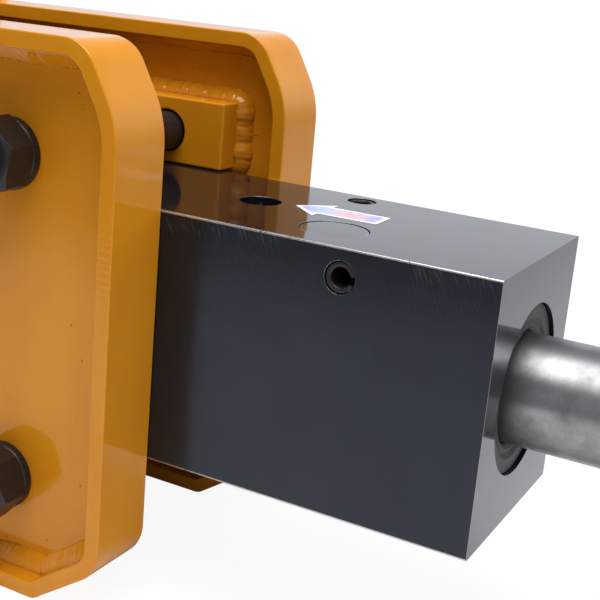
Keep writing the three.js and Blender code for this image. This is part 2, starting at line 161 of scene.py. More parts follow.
paper, paper_tree, paper_shader = new_material(
    "floor_paper_with_painted_shade", Specular_IOR_Level=0.1, Roughness=0.9,
)
at = own_place(paper_tree)
away = wire(paper_tree, "ShaderNodeVectorMath", {0: at}, operation="LENGTH").outputs["Value"]
across = wire(paper_tree, "ShaderNodeSeparateXYZ", {0: at}).outputs[1]
# Painted shade: between 1 and 1.45 m out on the near side the floor's colour falls to dark, so reflections
# and bounce light meet shade there; camera rays still see the white glow.
painted_dark_floor_shade = spread(paper_tree, across, -1.45, -1.0, 0.15, 0.92)
grain = noise(paper_tree, at, 900.0, 2.0)
tone = maths(paper_tree, "MULTIPLY_ADD", grain, 0.02, painted_dark_floor_shade)
paper_tree.links.new(tone, paper_shader.inputs["Base Color"])
glow = wire(paper_tree, "ShaderNodeEmission", {"Color": white, "Strength": 1.03})
clear = spread(paper_tree, away, 0.6, 1.5, 0.90, 1.0)
shown = seen_by_camera(paper_tree, clear, paper_shader, glow)
paper_tree.links.new(shown, paper_tree.nodes["Material Output"].inputs["Surface"])
floor_radius = 9.0
disc = bmesh.new()
bmesh.ops.create_circle(disc, cap_ends=True, segments=96, radius=floor_radius)
floor_mesh = bpy.data.meshes.new("floor")
disc.to_mesh(floor_mesh)
floor_mesh.materials.append(paper)
floor = bpy.data.objects.new("floor", floor_mesh)
scene.collection.objects.link(floor)

# ---- Amber enamel ----
# The side plates are welded, blasted and sprayed with one thick coat of amber machine enamel.
# It lies a little uneven, is rubbed paler on corners and shows flame-cut grooves on bar edges.


def new_group(name, inputs, outputs):
    """A shader node group, its input node and its output node."""
    tree = bpy.data.node_groups.new(name, "ShaderNodeTree")
    for label, value in inputs.items():
        kind = "NodeSocketFloat" if isinstance(value, float) else "NodeSocketColor"
        tree.interface.new_socket(label, in_out="INPUT", socket_type=kind).default_value = value
    for label, kind in outputs.items():
        tree.interface.new_socket(label, in_out="OUTPUT", socket_type=f"NodeSocket{kind}")
    return tree, wire(tree, "NodeGroupInput"), wire(tree, "NodeGroupOutput")


def blended(tree, factor, first, second):
    """The colour between two colours."""
    return wire(tree, "ShaderNodeMix", {0: factor, 6: first, 7: second}, data_type="RGBA").outputs[2]


def stretched(tree, vector, factors):
    """A vector with its parts scaled, so that a pattern on it is drawn out."""
    made = wire(tree, "ShaderNodeVectorMath", {0: vector, 1: factors}, operation="MULTIPLY")
    return made.outputs[0]


def dress(tree, shader, colour, roughness, relief, relief_size=0.001):
    """Feeds a skin's colour, gloss and relief to the shader. The relief is in millimetres."""
    bump = wire(tree, "ShaderNodeBump", {"Height": relief, "Distance": relief_size, "Strength": 1.0})
    tree.links.new(colour, shader.inputs["Base Color"])
    tree.links.new(bump.outputs[0], shader.inputs["Normal"])
    if roughness:
        tree.links.new(roughness, shader.inputs["Roughness"])


# Sprayed film: broad tone patches, faint vertical runs, dust nibs, uneven gloss and orange peel.
paint_film, given, put_out = new_group(
    "paint_film",
    {
        "Colour": (0.5, 0.5, 0.5, 1.0),
        "Shade": (0.3, 0.3, 0.3, 1.0),
        "Patches": 0.6,
        "Gloss": 0.2,
        "Dull": 0.4,
        "Peel": 0.02,
        "Nibs": 0.3,
    },
    {"Colour": "Color", "Roughness": "Float", "Height": "Float"},
)
at = own_place(paint_film)
patches = noise(paint_film, at, 5.0, 4.0, 0.6)
runs = noise(paint_film, stretched(paint_film, at, (38.0, 38.0, 5.0)), 1.0, 3.0)
tone = maths(paint_film, "ADD", patches, maths(paint_film, "MULTIPLY", runs, 0.35))
tone = spread(paint_film, tone, 0.52, 0.85, 0.0, given.outputs["Patches"])
film_colour = blended(paint_film, tone, given.outputs["Colour"], given.outputs["Shade"])
nib_cells = wire(paint_film, "ShaderNodeTexVoronoi", {"Vector": at, "Scale": 260.0, "Randomness": 1.0})
nib_round = spread(paint_film, nib_cells.outputs["Distance"], 0.05, 0.16, 1.0, 0.0)
nib_pick = wire(paint_film, "ShaderNodeSeparateColor", {"Color": nib_cells.outputs["Color"]})
nib = maths(paint_film, "MULTIPLY", nib_round, maths(paint_film, "GREATER_THAN", nib_pick.outputs[0], 0.975))
nib = maths(paint_film, "MULTIPLY", nib, given.outputs["Nibs"])
smears = noise(paint_film, at, 26.0, 6.0, 0.65)
gloss = spread(paint_film, smears, 0.35, 0.7, given.outputs["Gloss"], given.outputs["Dull"])
peel = noise(paint_film, at, 380.0, 2.0)
swell = noise(paint_film, at, 45.0, 2.0)
rise = maths(paint_film, "MULTIPLY_ADD", swell, 3.0, peel)
rise = maths(paint_film, "MULTIPLY", rise, given.outputs["Peel"])
rise = maths(paint_film, "MULTIPLY_ADD", nib, 0.02, rise)
paint_film.links.new(film_colour, put_out.inputs["Colour"])
paint_film.links.new(gloss, put_out.inputs["Roughness"])
paint_film.links.new(rise, put_out.inputs["Height"])

# Rubbed corners: the faces of a rounded edge carry the attribute "edge".
edge_rub, given, put_out = new_group("edge_rub", {"Amount": 0.5, "Fineness": 120.0}, {"Mask": "Float"})
on_edge = wire(edge_rub, "ShaderNodeAttribute", attribute_name="edge").outputs["Fac"]
ragged = noise(edge_rub, own_place(edge_rub), given.outputs["Fineness"], 5.0, 0.7)
limit = maths(edge_rub, "MULTIPLY_ADD", given.outputs["Amount"], -0.6, 0.85)
over = maths(edge_rub, "SUBTRACT", ragged, limit)
rub = spread(edge_rub, over, 0.0, 0.06)
edge_rub.links.new(maths(edge_rub, "MULTIPLY", rub, on_edge), put_out.inputs["Mask"])

amber = (0.660, 0.256, 0.009, 1.0)
amber_shade = (0.560, 0.180, 0.005, 1.0)
amber_rubbed = (0.800, 0.420, 0.060, 1.0)


def rubbed_mask(tree, amount):
    """Where a rounded edge is rubbed."""
    return wire(tree, "ShaderNodeGroup", {"Amount": amount}, node_tree=edge_rub).outputs["Mask"]


def enamel(name, colour, shade, rub_amount, film, height=None):
    """Amber enamel with a rubbed tone on rounded edges. height adds a relief, in millimetres."""
    # Painted reflection: this specular tint warms every reflection on the amber enamel.
    painted_warm_reflection_tint = (1.0, 0.92, 0.78, 1.0)
    material, tree, shader = new_material(name, IOR=1.43, Specular_Tint=painted_warm_reflection_tint)
    given = {"Colour": colour, "Shade": shade, **film}
    coat = wire(tree, "ShaderNodeGroup", given, node_tree=paint_film).outputs
    skin = blended(tree, rubbed_mask(tree, rub_amount), coat["Colour"], amber_rubbed)
    relief = coat["Height"]
    if height:
        relief = maths(tree, "ADD", relief, height(tree))
    dress(tree, shader, skin, coat["Roughness"], relief)
    return material


def flame_cut(tree):
    """Drag lines across the bar's edge, left by the cutting flame, in millimetres."""
    drag_lines = 966.0
    flow = wire(tree, "ShaderNodeUVMap", uv_map="flow").outputs[0]
    fine = noise(tree, stretched(tree, flow, (620.0, 46.0, 1.0)), 1.0, 3.0)
    along = wire(tree, "ShaderNodeSeparateXYZ", {0: flow}).outputs[0]
    along = maths(tree, "MULTIPLY", along, drag_lines)
    turns = maths(tree, "MULTIPLY_ADD", noise(tree, flow, 60.0, 2.0), 9.0, along)
    wave = maths(tree, "SINE", turns)
    height = wire(tree, "ShaderNodeSeparateXYZ", {0: own_place(tree)}).outputs[2]
    low_half = spread(tree, height, 0.34, 0.40, 1.0, 0.15)
    wave = maths(tree, "MULTIPLY", wave, maths(tree, "MULTIPLY", low_half, 0.035))
    return maths(tree, "MULTIPLY_ADD", fine, 0.05, wave)


amber_film = {"Patches": 0.5, "Gloss": 0.06, "Dull": 0.15, "Peel": 0.006, "Nibs": 0.4}
amber_enamel = enamel("amber_enamel", amber, amber_shade, 0.15, amber_film)
amber_cut_edge = enamel("amber_cut_edge", amber, amber_shade, 0.3, amber_film, flame_cut)

# ---- Plate rims ----
# Each side plate is edged by a flat steel bar, flame cut to width and bent round the outline.
# Its four long corners are only lightly eased before painting.
near_far = (("near", -1), ("far", 1))
ends = ("front", "rear")
levels = ("lower", "upper")
rim_inner, rim_outer = (corner[1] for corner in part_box("far_plate_rim"))
bar = 0.0155
bar_corner = 0.0016
# A plate's corners as (along, height, corner radius), from the top rear one down and round.
plate_corners = (
    (-0.900, 0.590, 0.050),
    (-0.900, 0.070, 0.050),
    (-0.830, 0.000, 0.040),
    (-0.074, 0.000, 0.016),
    (0.000, 0.051, 0.040),
    (0.000, 0.461, 0.096),
    (-0.037, 0.527, 0.038),
    (-0.443, 0.527, 0.020),
    (-0.467, 0.645, 0.050),
    (-0.850, 0.645, 0.060),
)


def outline(corners, inset, step):
    """Points of an outline moved inwards, with the inward direction at each point."""
    tightest = 0.002
    points = []
    for i, (x, z, radius) in enumerate(corners):
        corner = Vector((x, z))
        before = (corner - Vector(corners[i - 1][:2])).normalized()
        after = (Vector(corners[(i + 1) % len(corners)][:2]) - corner).normalized()
        turn = math.atan2(before.cross(after), before.dot(after))
        inward = Vector((-before.y, before.x))
        bisector = (inward + Vector((-after.y, after.x))).normalized()
        sign = math.copysign(1.0, turn)
        bend = max(radius - sign * inset, tightest)
        centre = corner + bisector * (inset + sign * bend) / math.cos(turn / 2)
        steps = max(2, math.ceil(abs(turn) / step))
        for k in range(steps + 1):
            out = Matrix.Rotation(turn * k / steps, 2) @ (-inward * sign)
            points.append((centre + out * bend, -out * sign))
    return points


def rounded_bar(depth, low, high, radius, steps=4):
    """A bar's section as (depth, across) points, each with the kind of side that follows it."""
    section = []
    inner, outer = depth - radius, radius
    middles = (
        (inner, low + radius), (inner, high - radius), (outer, high - radius), (outer, low + radius),
    )
    for i, (d, y) in enumerate(middles):
        for k in range(steps + 1):
            angle = math.radians(-90 + 90 * i + 90 * k / steps)
            side = "corner" if k < steps else ("face", "cut")[i % 2]
            section.append((d + radius * math.cos(angle), y + radius * math.sin(angle), side))
    return section


def swept_bar(name, path, section, side):
    """A bar bent round a plate's outline. Its own map runs along it and across it."""
    shape = bmesh.new()
    flow = shape.loops.layers.uv.new("flow")
    worn = shape.faces.layers.float.new("edge")
    rows = [
        [shape.verts.new((p.x + n.x * d, side * y, p.y + n.y * d)) for d, y, _ in section]
        for p, n in path
    ]
    along = [0.0]
    for (p, _), (q, _) in zip(path, path[1:] + path[:1]):
        along.append(along[-1] + (q - p).length)
    around = [0.0]
    for (d, y, _), (e, v, _) in zip(section, section[1:] + section[:1]):
        around.append(around[-1] + math.hypot(e - d, v - y))
    for i, row in enumerate(rows):
        following = rows[(i + 1) % len(rows)]
        for j, (_, _, kind) in enumerate(section):
            k = (j + 1) % len(section)
            face = shape.faces.new((row[j], following[j], following[k], row[k]))
            face.material_index = 1 if kind == "cut" else 0
            face[worn] = 1.0 if kind == "corner" else 0.0
            places = ((i, j), (i + 1, j), (i + 1, j + 1), (i, j + 1))
            for loop, (a, b) in zip(face.loops, places):
                loop[flow].uv = (along[a], around[b])
    bmesh.ops.recalc_face_normals(shape, faces=shape.faces)
    return made_object(name, shape)


def made_object(name, shape):
    """A bmesh as an object in the scene."""
    mesh = bpy.data.meshes.new(name)
    shape.to_mesh(mesh)
    shape.free()
    piece = bpy.data.objects.new(name, mesh)
    scene.collection.objects.link(piece)
    return piece


def finished(piece, materials, slot, body, *nodes, sharp=38.0):
    """Gives a piece its materials and soft normals, and lets it stand for its CAD nodes."""
    mesh = piece.data
    chosen = [polygon.material_index for polygon in mesh.polygons]
    mesh.materials.clear()
    for material in materials:
        mesh.materials.append(material)
    mesh.polygons.foreach_set("material_index", [min(k, len(materials) - 1) for k in chosen])
    mesh.polygons.foreach_set("use_smooth", [True] * len(mesh.polygons))
    mesh.set_sharp_from_angle(angle=math.radians(sharp))
    soften = piece.modifiers.new("soft_normals", "WEIGHTED_NORMAL")
    soften.keep_sharp = True
    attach(piece, body)
    if nodes:
        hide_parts(*nodes)
    return piece


rim_path = outline(plate_corners, 0.0, math.radians(4.0))
rim_section = rounded_bar(bar, rim_inner, rim_outer, bar_corner)
rim_paint = [amber_enamel, amber_cut_edge]
for word, side in near_far:
    rim = swept_bar(f"{word}_rim_bar", rim_path, rim_section, side)
    finished(rim, rim_paint, "plate_paint", "breaker_body", f"{word}_plate_rim")

# ---- Plate webs ----
# The web is plate, flame cut to fit inside the bar, with round holes for the side bolts
# and for the pin hubs. All its edges end in welds or under nuts.
web_inner, web_outer = (corner[1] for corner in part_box("far_plate_web"))
web_corner = 0.0008
welding_gap = 0.0003
bolt_hole = 0.024


def middle(node):
    """The middle of a CAD node's box."""
    low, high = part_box(node)
    return [(a + b) / 2 for a, b in zip(low, high)]


def on_plate(node):
    """Where a node's middle lies on a side plate, as (along, height)."""
    x, _, z = middle(node)
    return x, z


bolts = [on_plate(f"side_stud_{end}_{level}") for end in ends for level in levels]
hubs = [on_plate(f"far_pin_hub_{end}") for end in ends]
low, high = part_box("far_pin_hub_rear")
hub_radius = (high[0] - low[0]) / 2


def eased(profile, radius, closed, steps=3):
    """A profile with its corners rounded, and whether each stretch is part of a rounding."""
    points = []
    count = len(profile)
    for i, at in enumerate(profile):
        at = Vector(at)
        if not closed and i in (0, count - 1):
            points.append((at, False))
            continue
        before = Vector(profile[i - 1]) - at
        after = Vector(profile[(i + 1) % count]) - at
        if radius == 0.0 or before.angle(after) > math.radians(165.0):
            points.append((at, False))
            continue
        reach = min(radius, before.length * 0.45, after.length * 0.45)
        start = at + before.normalized() * reach
        stop = at + after.normalized() * reach
        for k in range(steps + 1):
            t = k / steps
            points.append((start.lerp(at, t).lerp(at.lerp(stop, t), t), k < steps))
    return points


def turned(name, profile, axis="X", centre=(0.0, 0.0, 0.0), sides=96, ease=0.0, closed=False):
    """A body turned about an axis from (radius, along) points."""
    order = {"X": (0, 1, 2), "Y": (1, 2, 0), "Z": (2, 0, 1)}[axis]
    shape = bmesh.new()
    worn = shape.faces.layers.float.new("edge")
    points = eased(profile, ease, closed)
    rows = []
    for (radius, along), _ in points:
        row = []
        for k in range(sides if radius > 1e-7 else 1):
            angle = 2 * math.pi * k / sides
            place = Vector(centre)
            place[order[0]] += along
            place[order[1]] += radius * math.cos(angle)
            place[order[2]] += radius * math.sin(angle)
            row.append(shape.verts.new(place))
        rows.append(row)
    pairs = list(zip(rows, rows[1:], points))
    if closed:
        pairs.append((rows[-1], rows[0], points[-1]))
    for row, following, (_, rounding) in pairs:
        for k in range(sides):
            m = (k + 1) % sides
            ring = [row[k % len(row)], row[m % len(row)]]
            ring += [following[m % len(following)], following[k % len(following)]]
            ring = list(dict.fromkeys(ring))
            if len(ring) > 2:
                shape.faces.new(ring)[worn] = 1.0 if rounding else 0.0
    bmesh.ops.recalc_face_normals(shape, faces=shape.faces)
    return made_object(name, shape)


def drill(axis, radius, low, high, centre, sides=96):
    """A plain round cutter."""
    profile = [(0.0, low), (radius, low), (radius, high), (0.0, high)]
    return turned("drill", profile, axis, centre, sides)


def extruded(name, points, low, high, place):
    """A prism between two levels; place turns (u, v, level) into a point in space."""
    shape = bmesh.new()
    shape.faces.layers.float.new("edge")
    rows = [[shape.verts.new(place(u, v, level)) for u, v in points] for level in (low, high)]
    shape.faces.new(rows[0])
    shape.faces.new(rows[1])
    for k in range(len(points)):
        m = (k + 1) % len(points)
        shape.faces.new((rows[0][k], rows[0][m], rows[1][m], rows[1][k]))
    bmesh.ops.recalc_face_normals(shape, faces=shape.faces)
    return made_object(name, shape)


def stood_up(u, v, y):
    """A point of an outline drawn across Y."""
    return u, y, v


def rectangle(left, bottom, right, top):
    """A rectangle's corners."""
    return [(left, bottom), (right, bottom), (right, top), (left, top)]


def settle(piece):
    """Turns a piece's modifiers into its mesh."""
    graph = bpy.context.evaluated_depsgraph_get()
    mesh = bpy.data.meshes.new_from_object(piece.evaluated_get(graph))
    piece.modifiers.clear()
    piece.data = mesh
    return piece


def cut(piece, tools, operation="DIFFERENCE"):
    """Cuts tools out of a piece, or joins or intersects them, one after another."""
    for tool in tools:
        modifier = piece.modifiers.new("cut", "BOOLEAN")
        modifier.operation = operation
        modifier.solver = "EXACT"
        modifier.object = tool
    settle(piece)
    for tool in tools:
        bpy.data.objects.remove(tool)
    return piece


def rounded(piece, width, wanted=None, steps=3, over=40.0):
    """Rounds a piece's sharp edges, or those of them that are wanted, and marks the new faces."""
    shape = bmesh.new()
    shape.from_mesh(piece.data)
    bmesh.ops.remove_doubles(shape, verts=shape.verts, dist=1e-6)
    worn = shape.faces.layers.float.get("edge") or shape.faces.layers.float.new("edge")
    edges = [
        edge for edge in shape.edges
        if len(edge.link_faces) == 2
        and edge.calc_face_angle() > math.radians(over)
        and (wanted is None or wanted(*(vert.co for vert in edge.verts)))
    ]
    made = bmesh.ops.bevel(
        shape, geom=edges, offset=width, offset_type="OFFSET", segments=steps,
        profile=0.5, affect="EDGES", clamp_overlap=True,
    )
    for face in made["faces"]:
        face[worn] = 1.0
    bmesh.ops.remove_doubles(shape, verts=shape.verts, dist=1e-6)
    shape.to_mesh(piece.data)
    shape.free()
    return piece


web_points = [point for point, _ in outline(plate_corners, bar + welding_gap, math.radians(6.0))]
through = 0.2
for word, side in near_far:
    web = extruded(f"{word}_web_plate", web_points, side * web_inner, side * web_outer, stood_up)
    holes = [drill("Y", bolt_hole, -through, through, (x, 0.0, z)) for x, z in bolts]
    holes += [drill("Y", hub_radius, -through, through, (x, 0.0, z)) for x, z in hubs]
    cut(web, holes)
    rounded(web, web_corner, steps=2)
    finished(web, [amber_enamel], "plate_paint", "breaker_body", f"{word}_plate_web")

# ---- Bolt pads ----
# Thick steel pads are welded inside the webs round the side bolts; they lap over the body's
# top and bottom faces and carry its weight. Their corners are ground round.
pad_hole = 0.0225
pad_corner = 0.0026
bolt_xs = sorted({x for x, _ in bolts}, reverse=True)
turned_to = {"near": math.pi, "far": 0.0}


def place_template_tree():
    """Puts one object at every point, turned as the attribute "turn" says."""
    tree = bpy.data.node_groups.new("set_at_places", "GeometryNodeTree")
    for label, kind in (("Places", "Geometry"), ("Part", "Object"), ("Finish", "Material")):
        tree.interface.new_socket(label, in_out="INPUT", socket_type=f"NodeSocket{kind}")
    tree.interface.new_socket("Parts", in_out="OUTPUT", socket_type="NodeSocketGeometry")
    given = wire(tree, "NodeGroupInput")
    part = wire(tree, "GeometryNodeObjectInfo", {"Object": given.outputs["Part"]})
    turn = wire(tree, "GeometryNodeInputNamedAttribute", {"Name": "turn"}, data_type="FLOAT_VECTOR")
    spin = wire(tree, "FunctionNodeEulerToRotation", {"Euler": turn.outputs["Attribute"]})
    stand = {
        "Points": given.outputs["Places"],
        "Instance": part.outputs["Geometry"],
        "Rotation": spin.outputs[0],
    }
    copies = wire(tree, "GeometryNodeInstanceOnPoints", stand)
    real = wire(tree, "GeometryNodeRealizeInstances", {"Geometry": copies.outputs[0]})
    dressed = {"Geometry": real.outputs[0], "Material": given.outputs["Finish"]}
    coat = wire(tree, "GeometryNodeSetMaterial", dressed)
    wire(tree, "NodeGroupOutput", {"Parts": coat.outputs[0]})
    return tree


set_at_places = place_template_tree()


def set_inputs(modifier, values):
    """Sets a modifier's inputs, found by the names of the tree's sockets."""
    for item in modifier.node_group.interface.items_tree:
        if item.item_type == "SOCKET" and item.in_out == "INPUT" and item.name in values:
            modifier[item.identifier] = values[item.name]


def repeated(name, template, places, finish):
    """One mesh of a template at each (point, turn)."""
    points = bpy.data.meshes.new(name)
    points.from_pydata([point for point, _ in places], [], [])
    turns = points.attributes.new("turn", "FLOAT_VECTOR", "POINT")
    for item, (_, turn) in zip(turns.data, places):
        item.vector = turn
    piece = bpy.data.objects.new(name, points)
    scene.collection.objects.link(piece)
    modifier = piece.modifiers.new("places", "NODES")
    modifier.node_group = set_at_places
    set_inputs(modifier, {"Part": template, "Finish": finish})
    settle(piece)
    bpy.data.objects.remove(template)
    return piece


def both_sides(spots):
    """Places on the far side at (along, height), then the same ones turned to the near side."""
    return [((x, 0.0, z), (0.0, 0.0, turned_to[word])) for word, _ in near_far for x, z in spots]


for level, (bolt_x, bolt_z) in zip(levels, bolts):
    pad_low, pad_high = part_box(f"far_bolt_pad_front_{level}")
    square = rectangle(pad_low[0] - bolt_x, pad_low[2], pad_high[0] - bolt_x, pad_high[2])
    pad = extruded("pad", square, pad_low[1], pad_high[1], stood_up)
    cut(pad, [drill("Y", pad_hole, -through, through, (0.0, 0.0, bolt_z))])
    rounded(pad, pad_corner, steps=4)
    nodes = [f"{word}_bolt_pad_{end}_{level}" for word, _ in near_far for end in ends]
    pad_places = both_sides([(x, 0.0) for x in bolt_xs])
    pads = repeated(f"{level}_bolt_pads", pad, pad_places, amber_enamel)
    finished(pads, [amber_enamel], "plate_paint", "breaker_body", *nodes)

# ---- Pin hubs and their bushes ----
# A turned steel hub is welded through each web at both pin holes, and a bronze bush with a
# grease groove is pressed into it. The excavator's arm pin and link pin run in the bushes.
bush_radius = 0.0425
pin_radius = 0.0325
hub_bore = bush_radius + 0.0003
hub_profile = rectangle(hub_bore, rim_inner, hub_radius, rim_outer)
hub = turned("hub", hub_profile, "Y", ease=0.003, closed=True)
hub_places = both_sides(hubs)
hub_nodes = [f"{word}_pin_hub_{end}" for word, _ in near_far for end in ends]
pin_hubs = repeated("pin_hubs", hub, hub_places, amber_enamel)
finished(pin_hubs, [amber_enamel], "plate_paint", "breaker_body", *hub_nodes)

# Metal skin: mottled tone, fine scratches and smears of oil, for every bare metal.
metal_skin, given, put_out = new_group(
    "metal_skin",
    {
        "Colour": (0.5, 0.5, 0.5, 1.0),
        "Tarnish": (0.3, 0.3, 0.3, 1.0),
        "Mottle": 60.0,
        "Smooth": 0.25,
        "Rough": 0.45,
        "Scratches": 0.5,
    },
    {"Colour": "Color", "Roughness": "Float", "Height": "Float"},
)
at = own_place(metal_skin)
cloud = noise(metal_skin, at, given.outputs["Mottle"], 6.0, 0.68)
stain = spread(metal_skin, cloud, 0.38, 0.66)
skin = blended(metal_skin, stain, given.outputs["Colour"], given.outputs["Tarnish"])
marks = []
long_and_fine = (((0.3, 0.5, 0.9), (900.0, 40.0, 40.0)), ((1.9, 0.2, 2.3), (40.0, 900.0, 40.0)))
for turn, squeeze in long_and_fine:
    lay = wire(metal_skin, "ShaderNodeMapping", {"Vector": at, "Rotation": turn, "Scale": squeeze})
    marks.append(spread(metal_skin, noise(metal_skin, lay.outputs[0], 1.0, 2.0), 0.66, 0.74))
scratch = maths(metal_skin, "MULTIPLY", maths(metal_skin, "MAXIMUM", *marks), given.outputs["Scratches"])
oil = spread(metal_skin, cloud, 0.3, 0.7, given.outputs["Smooth"], given.outputs["Rough"])
oil = maths(metal_skin, "MULTIPLY_ADD", scratch, 0.12, oil)
dents = maths(metal_skin, "MULTIPLY", cloud, 0.05)
dents = maths(metal_skin, "MULTIPLY_ADD", scratch, -0.02, dents)
metal_skin.links.new(skin, put_out.inputs["Colour"])
metal_skin.links.new(oil, put_out.inputs["Roughness"])
metal_skin.links.new(dents, put_out.inputs["Height"])


def bare_metal(name, rubbed, rub_amount, height=None, metallic=1.0, **values):
    """Bare or oxidised metal with brighter rubbed corners."""
    material, tree, shader = new_material(name, Metallic=metallic)
    skin = wire(tree, "ShaderNodeGroup", values, node_tree=metal_skin).outputs
    tone = blended(tree, rubbed_mask(tree, rub_amount), skin["Colour"], rubbed)
    relief = skin["Height"]
    if height:
        relief = maths(tree, "ADD", relief, height(tree))
    dress(tree, shader, tone, skin["Roughness"], relief)
    return material


bronze = bare_metal(
    "bush_bronze", rubbed=(0.85, 0.62, 0.3, 1.0), rub_amount=0.7,
    Colour=(0.62, 0.40, 0.16, 1.0), Tarnish=(0.42, 0.25, 0.09, 1.0),
    Mottle=90.0, Smooth=0.22, Rough=0.42, Scratches=0.6,
)
bush_inner, bush_outer = rim_inner + 0.001, rim_outer - 0.001
groove = (rim_inner + rim_outer) / 2
groove_radius = pin_radius + 0.002
bush_profile = [
    *rectangle(pin_radius, bush_inner, bush_radius, bush_outer),
    (pin_radius, groove + 0.004), (groove_radius, groove + 0.003),
    (groove_radius, groove - 0.003), (pin_radius, groove - 0.004),
]
bush = turned("bush", bush_profile, "Y", ease=0.001, closed=True)
bush_nodes = [f"{word}_pin_bush_{end}" for word, _ in near_far for end in ends]
pin_bushes = repeated("pin_bushes", bush, hub_places, bronze)
finished(pin_bushes, [bronze], "bronze", "breaker_body", *bush_nodes)

# ---- Welds ----
# Fillet welds run round each web against the bar on both faces, round each pad and round each
# hub. They were laid by hand: rippled, uneven in width, with spatter beside them, all painted.


